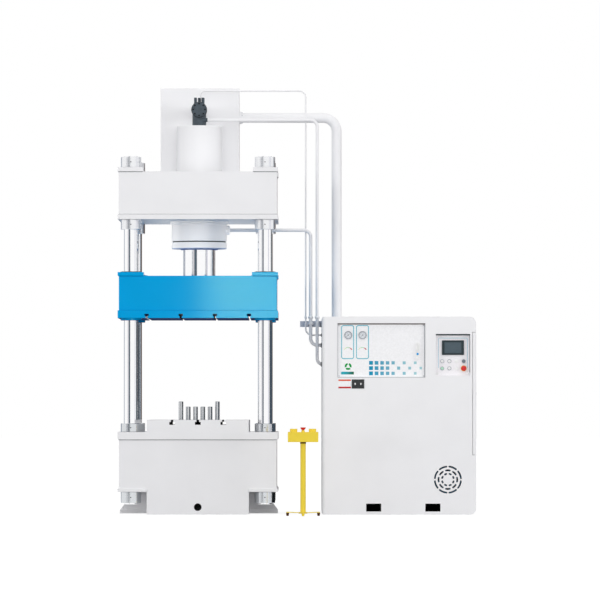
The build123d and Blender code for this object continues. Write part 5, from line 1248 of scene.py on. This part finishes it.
@dataclass
class Cabinet:
    """Sheet cabinet with its door, grille, fork pockets and breaker plate."""

    door_x: float = 2447.0
    front: float = CABINET.low[Y]
    back: float = CABINET.high[Y]
    pockets: tuple = (1545.5, 2065.5)
    # Width, height and foot of a pocket, and how deep its slit and its whole flap lie
    pocket: tuple = (132.0, 69.0, 27.0)
    flaps: tuple = (30.0, 27.0)
    # Middle and size of the rating plate, and the middle and height of its bars
    plate: tuple = (1291.0, 1147.0, 111.0, 79.0)
    orange_bar: tuple = (1180.0, 13.0)
    red_bar: tuple = (1116.2, 14.5)

    def in_pockets(self, centres: np.ndarray, normals: np.ndarray) -> np.ndarray:
        """Picks the faces on the inner walls of the fork pockets.

        Args:
            centres: face centres in millimetres.
            normals: face normals.
        Returns:
            Which faces are pocket walls.
        """
        width, height, low = self.pocket
        chosen = np.zeros(len(centres), bool)
        for x in self.pockets:
            near_x = np.abs(centres[:, X] - x) <= width / 2 + SLACK
            near_z = np.abs(centres[:, Z] - low - height / 2) <= height / 2 + SLACK
            chosen |= near_x & near_z & (np.abs(normals[:, Y]) < 0.5)
        return chosen

    def dress(self) -> None:
        """Gives the CAD pieces their finishes; the door's lock is the part of it that stands proud."""
        dress("cabinet_shell", CABINET_WHITE)
        # Painted shade: the fork pockets' inner walls are black where shade falls in them
        dress_part("cabinet_shell", POCKET_SHADE_BLACK, self.in_pockets)
        dress("side_door", CABINET_WHITE)
        dress_part("side_door", ZINC, lambda c, n: (c[:, X] > self.door_x + SLACK) & (c[:, Y] < 0))
        dress("breaker_plate", BLACK_PLASTIC)
        for side in ("left", "right"):
            dress(f"breaker_lever_{side}", PALE_PLASTIC)

    def pocket_flaps(self) -> None:
        """Rubber flaps in the rear mouths of the fork pockets: a layer slit in four on a whole one. They
        close the far ends, a dark sheet that stands in for the shade deep in the pockets.
        """
        width, height, low = self.pocket
        slit_y, whole_y = self.back - self.flaps[0], self.back - self.flaps[1]
        slit = [(0.6, 0), (0, 0.6), (0, 2.4), (0.6, 3)]
        whole = [(0.4, 0), (0, 0.4), (0, 1.6), (0.4, 2)]
        shape, z = Shape(), low + height / 2
        strip = (width - 4) / 4
        for x in self.pockets:
            for i in range(4):
                middle = x - width / 2 + 2 + strip * (i + 0.5)
                shape.grid(slab(strip - 0.4, height - 3, 1.5, slit, (middle, slit_y, z), Facing.BACK))
            shape.grid(slab(width - 0.4, height - 0.4, 0.5, whole, (x, whole_y, z), Facing.BACK))
        shape.build("fork_pocket_flaps", BLACK_RUBBER, slot="rubber")

    def grommets(self) -> None:
        """Rubber grommets round the three pipes in the cabinet's left wall."""
        shape = Shape()
        for pipe in SMALL_PIPES:
            r, hole = pipe.diameter / 2 + 0.4, pipe.diameter / 2 + 4.0
            profile = [(r, -8), (r, 6), (r + 2, 8), (hole + 1, 4), (hole + 5, 3), (hole + 5, 0.2),
                       (hole - 0.5, 0.2), (hole - 0.5, -4.2), (hole + 3, -4.4), (hole + 3, -8)]
            at = (CABINET.low[X], pipe.y, pipe.corners[-1][1])
            shape.grid(turned(profile, at, Facing.LEFT), closed=True)
        shape.build("pipe_grommets", BLACK_RUBBER, slot="rubber")

    def label_plate(self) -> None:
        """Blank rating plate beside the breakers, with its two printed bars."""
        x, z, width, height = self.plate
        layers = [(0, -0.2), (0, 0.8), (0.5, 1.2)]
        plate = Shape().grid(slab(width, height, 2, layers, (x, self.front, z), Facing.FRONT))
        plate.build("blank_plate", PANEL_FOIL, slot="panel_print")
        layers = [(0, 0.9), (0, 1.35), (0.2, 1.45)]
        for name, (z, high), ink in (("orange", self.orange_bar, ORANGE_INK), ("red", self.red_bar, RED_INK)):
            bar = Shape().grid(slab(width - 2, high, 0.6, layers, (x, self.front, z), Facing.FRONT))
            bar.build(f"blank_plate_{name}_bar", ink, slot="panel_print")

    def build(self) -> None:
        """Dresses and details the cabinet."""
        self.dress()
        self.pocket_flaps()
        self.grommets()
        self.label_plate()


def recess_seal(name: str, finish: Finish, face: float, x: tuple, z: tuple) -> None:
    """Makes one flat dark strip of painted shade on a recessed panel's face, along the recess's edge.

    Args:
        name: the piece's name.
        finish: its finish.
        face: the panel's face.
        x: where the strip starts and ends across.
        z: where it starts and ends in height.
    """
    at = ((x[0] + x[1]) / 2, face, (z[0] + z[1]) / 2)
    layers = [(0.4, 0), (0, 0.5), (0, 2.4), (0.8, 3.0)]
    strip = Shape().grid(slab(x[1] - x[0], z[1] - z[0], 1.5, layers, at, Facing.FRONT))
    strip.build(name, finish, slot="rubber")


@dataclass
class Instruments:
    """Instrument panel in the left recess: gauges, level sight and the printed foil."""

    face: float = -690.0
    # The recess is 1 mm wider than the panel all round
    x0: float = PANEL.low[X] - 1
    top: float = PANEL.high[Z] + 1
    width: float = PANEL.size(X) + 2
    height: float = PANEL.size(Z) + 2
    gauges: tuple = (1322.6, 1448.6)
    gauge_z: float = 1576.5
    dial: float = 56.0
    # Scale: where it starts, how far it turns, its marks, and how many marks make a long one
    scale: tuple = (225.0, 270.0, 25, 5)
    number_size: float = 5.6
    window: tuple = (105.6, 291.0, 17.0)
    window_z: float = 1515.3
    window_shift: tuple = (-5.1, -0.1)
    window_line: float = 3.6
    arc_z: float = 1430.0
    arc_r: float = 38.2
    arc_shift: float = 1.8
    # Each arc's name, where it starts and ends, its half widths there, and its ink
    arcs: tuple = (("lime", (150, 111), (1.8, 2.8), LIME_INK), ("green", (111, 68), (2.8, 2.6), GREEN_INK),
                   ("red", (68, 29), (2.2, 5.0), RED_INK))
    squares_x: float = 1506.0
    squares_z: float = 1333.0
    # Size of the first square, and how much less the next column's has
    square: tuple = (34.0, 1.3)
    pitch: tuple = (48.6, 46.2)
    ring: tuple = (1322.0, 1301.0)
    ring_r: float = 22.0
    ring_line: float = 8.5
    # Middle and size of the bar, and the middle and radius of its hexagonal head
    bar: tuple = (1321.5, 102.0, 25.0)
    bar_head: tuple = (1270.5, 14.0)
    bar_z: float = 1243.0
    level_x: float = SIGHT.middle(X)
    level_z: float = 1410.6
    # Level tube's foot, height, radius and distance in front of the panel
    level_tube: tuple = (1397.5, 96.5, 6.4, 12.0)
    level_disc: float = 10.0
    level_caps: tuple = (1374.0, 1503.0)

    def dress(self) -> None:
        """Gives the CAD pieces their finishes."""
        dress("instrument_panel", PANEL_FOIL)
        dress_part("instrument_panel", BEZEL_METAL, lambda c, n: c[:, Y] < self.face - PROUD)
        dress("level_sight", PALE_PLASTIC)
        for side in ("left", "right"):
            dress(f"gauge_needle_{side}", GREY_PLASTIC)

    def dials(self) -> None:
        """Dial faces with their scale marks, numbers and lenses."""
        paper, marks, lens = Shape(), Shape(), Shape()
        radius = self.dial / 2 - 0.3
        disc = [(0, 0.2), (radius, 0.2), (radius, 0.9), (0, 0.9)]
        dome = [(0, 8.4), (radius, 8.4), (radius, 9.4), (radius * 0.8, 10.4), (radius * 0.45, 11.2),
                (0, 11.5)]
        first, turn, count, group = self.scale
        for x in self.gauges:
            at = (x, self.face, self.gauge_z)
            paper.grid(turned(disc, at, Facing.FRONT, 48))
            lens.grid(turned(dome, at, Facing.FRONT, 48))
            for i in range(count + 1):
                long, width = (2.4, 0.5) if i % group else (4.2, 0.8)
                angle, outer = radians(first - turn * i / count), radius - 1.5
                marks.grid(self.tick(x, angle, (outer - long, outer), width))
        paper.build("gauge_dials", DIAL_PAPER, slot="white_plastic")
        marks.build("gauge_scale_marks", SCALE_INK, slot="panel_print")
        lens.build("gauge_lenses", LENS)
        self.numbers()

    def tick(self, x: float, angle: float, reach: tuple, width: float) -> np.ndarray:
        """Scale mark: a thin block that runs outwards at an angle.

        Args:
            x: the gauge's centre.
            angle: where the mark lies.
            reach: its inner and outer radius.
            width: its width.
        Returns:
            Grid of points, station by section.
        """
        along = np.array((cos(angle), 0, sin(angle)))
        across = np.array((-sin(angle), 0, cos(angle))) * width / 2
        front = np.array((0, -1, 0))
        middle = np.array((x, self.face, self.gauge_z)) + front * 0.4
        ring = np.array([across, across + front * 1.05, -across + front * 1.05, -across])
        inner, outer = middle + along * reach[0], middle + along * reach[1]
        return np.array([inner + ring * 0.01, inner + ring, outer + ring, outer + ring * 0.01])

    def numbers(self) -> None:
        """Numbers 0 to 25 on both dials, as text made into meshes and joined."""
        first, turn, count, group = self.scale
        reach = self.dial / 2 - 9.5
        joined = bmesh.new()
        for x in self.gauges:
            for value in range(0, count + 1, group):
                angle = radians(first - turn * value / count)
                place = (x + reach * cos(angle), self.face - 1.0, self.gauge_z + reach * sin(angle))
                joined.from_mesh(self.number(str(value), place))
        whole = bpy.data.meshes.new("gauge_numbers")
        joined.to_mesh(whole)
        joined.free()
        whole.materials.clear()
        whole.materials.append(SCALE_INK.material())
        piece = bpy.data.objects.new("gauge_numbers", whole)
        bpy.context.scene.collection.objects.link(piece)
        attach(piece, ROOT)

    def number(self, words: str, place: tuple) -> bpy.types.Mesh:
        """Makes one upright number that faces the front.

        Args:
            words: what it says.
            place: its middle in millimetres.
        Returns:
            Its mesh, in place.
        """
        curve = bpy.data.curves.new("number", "FONT")
        curve.body = words
        curve.size = self.number_size * MM
        curve.extrude = 0.06 * MM
        curve.align_x = "CENTER"
        curve.align_y = "CENTER"
        text = bpy.data.objects.new("number", curve)
        bpy.context.scene.collection.objects.link(text)
        bpy.context.view_layer.update()
        mesh = bpy.data.meshes.new_from_object(text)
        mesh.transform(Matrix.Translation(Vector(place) * MM) @ Matrix.Rotation(pi / 2, 4, "X"))
        bpy.data.objects.remove(text)
        return mesh

    def windows(self) -> None:
        """Printed frames round the gauges, with a coloured arc under each."""
        frames, film = Shape(), self.face - PRINT_LIFT
        ring = outline(*self.window)
        for x, shift in zip(self.gauges, self.window_shift):
            across, up = ring[:, 0] + x + shift, ring[:, 1] + self.window_z
            path = np.column_stack([across, np.full(len(ring), film), up])
            frames.grid(printed_line(path, self.window_line, 0.35, closed=True), closed=True)
        frames.build("gauge_frames_printed", FRAME_INK, slot="panel_print")
        for name, turn, half, ink in self.arcs:
            shape = Shape()
            for x in self.gauges:
                shape.grid(printed_arc((x - self.arc_shift, film, self.arc_z), self.arc_r, turn, half, 14))
            shape.build(f"gauge_arc_{name}", ink, slot="panel_print")

    def artwork(self) -> None:
        """A plain chequer that fades to the right, a green ring and a bar, in print."""
        squares, ring, bar = Shape(), Shape(), Shape()
        layers = [(0, 0.0), (0, 0.3), (0.4, 0.38)]
        across, down = self.pitch
        first, less = self.square
        for column in range(10):
            for row in range(3):
                if (column + row) % 2 and column > 3:
                    continue
                size = first - less * column
                at = (self.squares_x + first / 2 + column * across, self.face, self.squares_z - row * down)
                squares.grid(slab(size, size, 1.5, layers, at, Facing.FRONT))
        squares.build("panel_chequer_printed", CHEQUER_INK, slot="panel_print")
        centre = (self.ring[0], self.face - PRINT_LIFT, self.ring[1])
        for start in (100, 220, 340):
            turn, half = (start, start + 96), (self.ring_line, self.ring_line)
            ring.grid(printed_arc(centre, self.ring_r, turn, half, 16))
        ring.build("green_ring_printed", LEAF_INK, slot="panel_print")
        x, width, height = self.bar
        bar.grid(slab(width, height, 1.5, layers, (x, self.face, self.bar_z), Facing.FRONT))
        x, r = self.bar_head
        bar.grid(turned([(0, 0), (r, 0), (r, 0.34), (0, 0.4)], (x, self.face, self.bar_z), Facing.FRONT, 6))
        bar.build("green_bar_printed", BAR_INK, slot="panel_print")

    def level(self) -> None:
        """Level sight: a milky tube, the blue pointer disc that its float carries, and the two caps."""
        foot, high, r, out = self.level_tube
        edge = self.level_disc
        disc = [(0, 0), (edge, 0), (edge, 2), (edge - 0.8, 2.8), (0, 2.9)]
        at = (self.level_x, self.face - out - r - 0.2, self.level_z)
        Shape().grid(turned(disc, at, Facing.FRONT, 32)).build("level_float", FLOAT_BLUE)
        profile = [(0, 0), (r, 0), (r, high - 1.5), (r - 1.5, high), (0, high)]
        tube_points = turned(profile, (self.level_x, self.face - out, foot), Facing.UP, 32)
        Shape().grid(tube_points).build("level_tube", PALE_PLASTIC, slot="white_plastic")
        screws = Shape()
        for z in self.level_caps:
            screws.grid(pan_screw(*SIGHT_CAP, (self.level_x, SIGHT.low[Y], z), Facing.FRONT))
        screws.build("level_sight_caps", PALE_PLASTIC, slot="white_plastic")

    def seals(self) -> None:
        """Dark strips of painted shade where the panel meets the sheet, along all four edges."""
        left, right = self.x0 + 0.8, self.x0 + self.width
        low, high = self.top - self.height, self.top - 11.5
        across, up = (self.x0 + 1, right - 1), (self.top - 11, self.top - 0.5)
        recess_seal("panel_shade_top", RECESS_SHADE_WARM, self.face, across, up)
        recess_seal("panel_shade_right", RECESS_SHADE_GREY, self.face, (right - 9, right - 1), (low + 1, high))
        recess_seal("panel_shade_low", RECESS_SHADE_GREY, self.face, (left, right - 9.5), (low + 0.6, low + 5.6))
        recess_seal("panel_shade_left", RECESS_SHADE_GREY, self.face, (left, left + 4), (low + 6, high))

    def corner_screws(self) -> None:
        """Pan head screws in the panel's corners."""
        shape = Shape()
        for x in (self.x0 + 14, self.x0 + self.width - 16):
            for z in (self.top - 18, self.top - self.height + 14):
                shape.grid(pan_screw(*PANEL_SCREW, (x, self.face, z), Facing.FRONT))
        shape.build("panel_screws", ZINC, slot="machined_steel")

    def build(self) -> None:
        """Dresses and details the instruments."""
        self.dress()
        self.dials()
        self.windows()
        self.artwork()
        self.level()
        self.seals()
        self.corner_screws()


@dataclass
class OperatorPanel:
    """Touch screen and controls in the right recess."""

    face: float = -660.0
    # The recess is 1 mm wider than the plate all round
    x0: float = PLATE.low[X] - 1
    z0: float = PLATE.low[Z] - 1
    width: float = PLATE.size(X) + 2
    height: float = PLATE.size(Z) + 2
    collar_r: float = 27.0
    # Middle and size of the screen's glass, and how far its back stands before the plate
    glass: tuple = (SCREEN.middle(X), SCREEN.middle(Z), 148.0, 93.0)
    glass_out: float = 8.4
    # Left, right, low and high side of the printed line, its bend radius and its half width
    line: tuple = (2116.0, 2371.0, 1288.0, 1551.0)
    line_bend: float = 9.0
    line_half: float = 1.9

    def rings(self, centres: np.ndarray, normals: np.ndarray) -> np.ndarray:
        """Faces of the rings round the controls, apart from the stop button's collar."""
        return (centres[:, Y] < self.face - PROUD) & ~self.collar(centres, normals)

    def collar(self, centres: np.ndarray, _normals: np.ndarray) -> np.ndarray:
        """Faces of the collar round the stop button."""
        reach = np.hypot(centres[:, X] - STOP.middle(X), centres[:, Z] - STOP.middle(Z))
        return (centres[:, Y] < self.face - PROUD) & (reach < self.collar_r)

    def dress(self) -> None:
        """Gives the CAD pieces their finishes."""
        dress("operator_plate", PLATE_FOIL)
        dress_part("operator_plate", BEZEL_METAL, self.rings)
        dress_part("operator_plate", AMBER_PLASTIC, self.collar)
        dress("touch_screen", SCREEN_CASE)
        dress("panel_lamps", PALE_PLASTIC)
        for side in ("top_left", "top_right", "low_right"):
            dress(f"push_button_{side}", PALE_PLASTIC)
        dress("push_button_low_left", MINT_PLASTIC)
        dress("selector_knob", GREY_PLASTIC)
        dress("panel_stop_button", RED_PLASTIC)

    def screen(self) -> None:
        """Screen glass in the case's recess."""
        x, z, width, height = self.glass
        layers = [(0.4, 0), (0, 0.4), (0, 1.2), (0.6, 1.5)]
        glass = Shape().grid(slab(width, height, 3, layers, (x, self.face - self.glass_out, z), Facing.FRONT))
        glass.build("screen_glass", SCREEN_GLASS)

    def frame_line(self) -> None:
        """Printed line round the screen and the controls, open at the foot."""
        left, right, low, high = self.line
        corners = [(left, 0, low), (left, 0, high), (right, 0, high), (right, 0, low)]
        path = rounded_route(corners, [self.line_bend, self.line_bend], 3.0) + (0, self.face - PRINT_LIFT, 0)
        shape = Shape().grid(printed_line(path, self.line_half, 0.3))
        shape.build("operator_line_printed", LINE_INK, slot="panel_print")

    def screws(self) -> None:
        """Capped screws in the plate's lower corners."""
        shape = Shape()
        for x in (self.x0 + 16, self.x0 + self.width - 16):
            shape.grid(pan_screw(*PLATE_SCREW, (x, self.face, self.z0 + 19), Facing.FRONT))
        shape.build("operator_screws", PALE_PLASTIC, slot="white_plastic")

    def seals(self) -> None:
        """Dark strips of painted shade where the plate meets the sheet, along its top and its right edge."""
        right, top = self.x0 + self.width, self.z0 + self.height
        recess_seal("plate_shade_top", RECESS_SHADE_SLATE, self.face, (self.x0 + 1, right - 1), (top - 12, top - 0.5))
        across, up = (right - 6.5, right - 1), (self.z0 + 30, top - 12.5)
        recess_seal("plate_shade_right", RECESS_SHADE_GREY, self.face, across, up)

    def build(self) -> None:
        """Dresses and details the operator panel."""
        self.dress()
        self.screen()
        self.frame_line()
        self.seals()
        self.screws()


@dataclass
class PowerPack:
    """Pump set, oil tank, valves and control gear inside the cabinet."""

    def build(self) -> None:
        """Dresses the pieces inside the cabinet."""
        dress("oil_tank", TANK_GREY)
        dress("motor_housing", MOTOR_BLUE)
        dress("motor_rotor", BLACK_PLASTIC)
        dress("pump", PUMP_GREY)
        dress("valve_manifold", DARK_STEEL)
        dress("solenoid_valves", BLACK_PLASTIC)
        dress("control_gear", GREY_PLASTIC)


@dataclass
class ControlStand:
    """Yellow two-hand control stand."""

    x: float = STAND.middle(X)
    y: float = STAND.middle(Y)
    # Height above which the post is painted brown as the shade under the box
    collar_z: float = 627.0
    foot_half: float = 40.0
    lid_z: float = 728.0
    lid_screws: tuple = (121.0, 51.0)

    def dress(self) -> None:
        """Gives the CAD pieces their finishes."""
        for node in ("stand_base", "stand_post", "stand_box"):
            dress(node, YELLOW)
        # Painted shade: brown on the post's top, in the box's shadow
        dress_part("stand_post", STAND_SHADE_BROWN, lambda c, n: c[:, Z] > self.collar_z - SLACK)
        # Painted shade: the side feet are brown where they are shaded; the front and rear feet stay yellow
        # where they are lit
        dress("stand_feet", STAND_SHADE_BROWN)
        dress_part("stand_feet", YELLOW, lambda c, n: np.abs(c[:, X] - self.x) < self.foot_half)
        for side in ("left", "right"):
            dress(f"palm_button_{side}", BLACK_PLASTIC)
        dress("stand_stop_button", RED_PLASTIC)

    def screws(self) -> None:
        """Lid screws on the box."""
        shape = Shape()
        for sx, sy in CORNERS:
            at = (self.x + sx * self.lid_screws[0], self.y + sy * self.lid_screws[1], self.lid_z)
            shape.grid(pan_screw(*LID_SCREW, at, Facing.UP))
        shape.build("stand_box_screws", ZINC, slot="machined_steel")

    def build(self) -> None:
        """Dresses and details the stand."""
        self.dress()
        self.screws()


def seen_directly(tree: bpy.types.NodeTree) -> bpy.types.NodeSocket:
    """Tells the rays that the eye follows from those that only carry light.

    Args:
        tree: the node tree.
    Returns:
        1 for the camera, through glass and in a reflection, 0 otherwise.
    """
    path = add(tree, "LightPath", {})
    direct = add(tree, "Math", {"operation": "MAXIMUM"}, i0=path.outputs["Is Camera Ray"],
                 i1=path.outputs["Is Transmission Ray"])
    both = add(tree, "Math", {"operation": "MAXIMUM"}, i0=direct.outputs[0], i1=path.outputs["Is Glossy Ray"])
    return both.outputs[0]


@dataclass(frozen=True)
class Card:
    """Upright grey card, in metres, that only reflections see."""

    x: float
    y: float
    width: float
    tone: str
    turn: float
    high: float


@dataclass
class Studio:
    """Camera, lamps, white surround and floor, as in a catalogue photograph; all in metres and degrees."""

    camera_at: tuple = (0.881, -48.705, 0.936)
    pitch: float = 1.133
    turn: float = -0.021
    lens: float = 327.66
    sensor: float = 36.0
    clip_end: float = 300.0
    ambient: float = 0.85
    # Azimuth and strength of each soft source
    suns: tuple = ((50.0, 1.0), (-50.0, 0.7), (0.0, 0.8))
    sun_height: float = 1.0
    sun_width: float = 24.0
    # Strip box: its size, power, place, aim and colour
    strip: tuple = ((0.93, 1.0), 255.0, (0.43, -6.0, 2.06), (0.43, 0.0, 2.06), (0.5, 1.0, 0.52))
    # Name, place across and power of the two fill lamps, and their size, place and aim
    fills: tuple = (("left", -1.6, 27.0), ("right", 1.6, 13.0))
    fill_size: tuple = (0.8, 0.2)
    fill_at: tuple = (-1.25, 1.9)
    fill_aim: tuple = (0.0, -0.1, 2.46)
    fill_colour: tuple = (1.0, 0.94, 0.84)
    # Floor: own light and shaded paint that the eye sees, bounce that the machine sees, and its edges
    floor_glow: float = 0.86
    floor_paint: tuple = (0.22, 0.22, 0.22, 1.0)
    floor_bounce: tuple = (0.36, 0.36, 0.37, 1.0)
    floor_edges: tuple = (-80.0, 80.0, -60.0, 120.0)
    cards: tuple = (
        Card(-3.85, -8.0, 3.3, "#58646F", 0.0, 4.0), Card(-8.1, -8.0, 5.4, "#C8C8CD", 0.0, 4.0),
        Card(3.4, -2.2, 0.9, "#D7D7E1", 58.0, 4.0), Card(6.085, 2.52, 1.97, "#647382", 112.4, 4.0),
        Card(3.1, 4.7, 5.81, "#5F5552", 153.7, 4.0), Card(-3.3, 5.0, 6.2, "#A5ACB9", 29.0, 4.0),
        Card(0.93, -0.05, 1.3, "#48545F", 90.0, 1.72), Card(0.925, -0.05, 1.3, "#15181B", 90.0, 0.66),
        Card(-3.85, -7.9, 3.3, "#2A3137", 0.0, 0.5),
    )

    def camera(self) -> None:
        """Long lens level with the table, tilted up a little."""
        data = bpy.data.cameras.new("camera")
        data.lens = self.lens
        data.sensor_width = self.sensor
        data.clip_end = self.clip_end
        camera = bpy.data.objects.new("camera", data)
        camera.location = self.camera_at
        camera.rotation_euler = (radians(90 + self.pitch), 0, radians(self.turn))
        bpy.context.scene.collection.objects.link(camera)
        bpy.context.scene.camera = camera

    def world(self) -> None:
        """White to the camera and in reflections, soft daylight level for everything else."""
        world = bpy.data.worlds.new("studio")
        bpy.context.scene.world = world
        world.use_nodes = True
        tree = world.node_tree
        level = add(tree, "MapRange", {}, Value=seen_directly(tree), To_Min=self.ambient, To_Max=1.0)
        tree.nodes["Background"].inputs["Color"].default_value = (1, 1, 1, 1)
        tree.links.new(level.outputs[0], tree.nodes["Background"].inputs["Strength"])

    def lamps(self) -> None:
        """Three broad soft sources round the front, and a strip box that only the slide's gloss picks up."""
        for number, (azimuth, strength) in enumerate(self.suns):
            sun = bpy.data.lights.new(f"soft_source_{number}", "SUN")
            sun.energy = strength
            sun.angle = radians(self.sun_width)
            lamp = bpy.data.objects.new(f"soft_source_{number}", sun)
            way = Vector((-sin(radians(azimuth)), cos(radians(azimuth)), -sin(radians(self.sun_height))))
            lamp.rotation_euler = way.to_track_quat("-Z", "Y").to_euler()
            lamp.visible_glossy = False
            bpy.context.scene.collection.objects.link(lamp)
        strip = self.panel_lamp("strip_box", *self.strip)
        strip.visible_diffuse = False
        self.light_only(strip, ("slide_beam", "slide_bushes", "slide_weld_seams", "slide_lip_shade_line"))

    def panel_lamp(self, name: str, size: tuple, energy: float, at: tuple, aim: tuple,
                   colour: tuple) -> bpy.types.Object:
        """Makes one rectangular lamp.

        Args:
            name: the lamp's name.
            size: width and height.
            energy: power in watts.
            at: where it hangs.
            aim: the point that it faces.
            colour: its colour in linear light.
        Returns:
            The lamp object.
        """
        data = bpy.data.lights.new(name, "AREA")
        data.shape = "RECTANGLE"
        data.size, data.size_y = size
        data.energy = energy
        data.color = colour
        lamp = bpy.data.objects.new(name, data)
        lamp.location = at
        lamp.rotation_euler = (Vector(aim) - Vector(at)).to_track_quat("-Z", "Y").to_euler()
        bpy.context.scene.collection.objects.link(lamp)
        return lamp

    def crown_fill(self) -> None:
        """Soft lamps on both sides that light only the cylinder and the gland, in the crown's shade."""
        for side, x, energy in self.fills:
            at = (x, *self.fill_at)
            lamp = self.panel_lamp(f"crown_fill_{side}", self.fill_size, energy, at, self.fill_aim,
                                   self.fill_colour)
            lamp.visible_glossy = False
            self.light_only(lamp, ("main_cylinder", "cylinder_gland", "cylinder_weld_seams", "rod_wiper"))

    def light_only(self, lamp: bpy.types.Object, names: tuple) -> None:
        """Lets a lamp light only the named pieces.

        Args:
            lamp: the lamp.
            names: the pieces that it lights.
        """
        lit = bpy.data.collections.new(f"lit_by_{lamp.name}")
        for name in names:
            lit.objects.link(bpy.data.objects[name])
        lamp.light_linking.receiver_collection = lit

    def floor(self) -> None:
        """Wide pale floor that keeps the shadow and fades into the white surround."""
        material = bpy.data.materials.new("studio_floor_painted")
        material.use_nodes = True
        tree = material.node_tree
        tree.nodes.remove(tree.nodes["Principled BSDF"])
        glow = add(tree, "Emission", {}, Color=(1, 1, 1, 1), Strength=self.floor_glow)
        shaded = add(tree, "BsdfDiffuse", {}, Color=self.floor_paint)
        pale = add(tree, "AddShader", {}, i0=glow.outputs[0], i1=shaded.outputs[0])
        bounce = add(tree, "BsdfDiffuse", {}, Color=self.floor_bounce)
        both = add(tree, "MixShader", {}, i0=seen_directly(tree), i1=bounce.outputs[0], i2=pale.outputs[0])
        tree.links.new(both.outputs[0], tree.nodes["Material Output"].inputs["Surface"])
        left, right, near, far = self.floor_edges
        self.quad("floor", [(left, near, 0), (right, near, 0), (right, far, 0), (left, far, 0)], material)

    def quad(self, name: str, corners: list, material: bpy.types.Material) -> bpy.types.Object:
        """Makes one flat stage quad.

        Args:
            name: its name.
            corners: its four corners in metres.
            material: its material.
        Returns:
            The new object.
        """
        mesh = bpy.data.meshes.new(name)
        mesh.from_pydata(corners, [], [(0, 1, 2, 3)])
        mesh.materials.append(material)
        piece = bpy.data.objects.new(name, mesh)
        bpy.context.scene.collection.objects.link(piece)
        return piece

    def reflectors(self) -> None:
        """The grey cards, which draw the dark lines on chrome."""
        for number, card in enumerate(self.cards):
            material = bpy.data.materials.new(f"studio_card_{number}")
            material.use_nodes = True
            tree = material.node_tree
            tree.nodes.remove(tree.nodes["Principled BSDF"])
            glow = add(tree, "Emission", {}, Color=linear(card.tone), Strength=1.0)
            tree.links.new(glow.outputs[0], tree.nodes["Material Output"].inputs["Surface"])
            dx, dy = card.width / 2 * cos(radians(card.turn)), card.width / 2 * sin(radians(card.turn))
            left, right = (card.x - dx, card.y - dy), (card.x + dx, card.y + dy)
            corners = [(*left, 0), (*right, 0), (*right, card.high), (*left, card.high)]
            piece = self.quad(f"card_{number}", corners, material)
            piece.visible_camera = False
            piece.visible_diffuse = False
            piece.visible_shadow = False
            piece.visible_transmission = False

    def build(self) -> None:
        """Sets up the studio."""
        self.camera()
        self.world()
        self.lamps()
        self.crown_fill()
        self.floor()
        self.reflectors()
        bpy.context.scene.view_settings.view_transform = "Standard"


def main() -> None:
    """Builds the studio and every sub-assembly."""
    logging.basicConfig(level=logging.INFO, format="%(name)s %(message)s")
    groups = (PressFrame(), Slide(), Cylinder(), Pipework(), Ejector(), Cabinet(), Instruments(),
              OperatorPanel(), PowerPack(), ControlStand(), Studio())
    for group in groups:
        group.build()
        LOG.info("%s done", type(group).__name__)


if __name__ == "__main__":
    main()
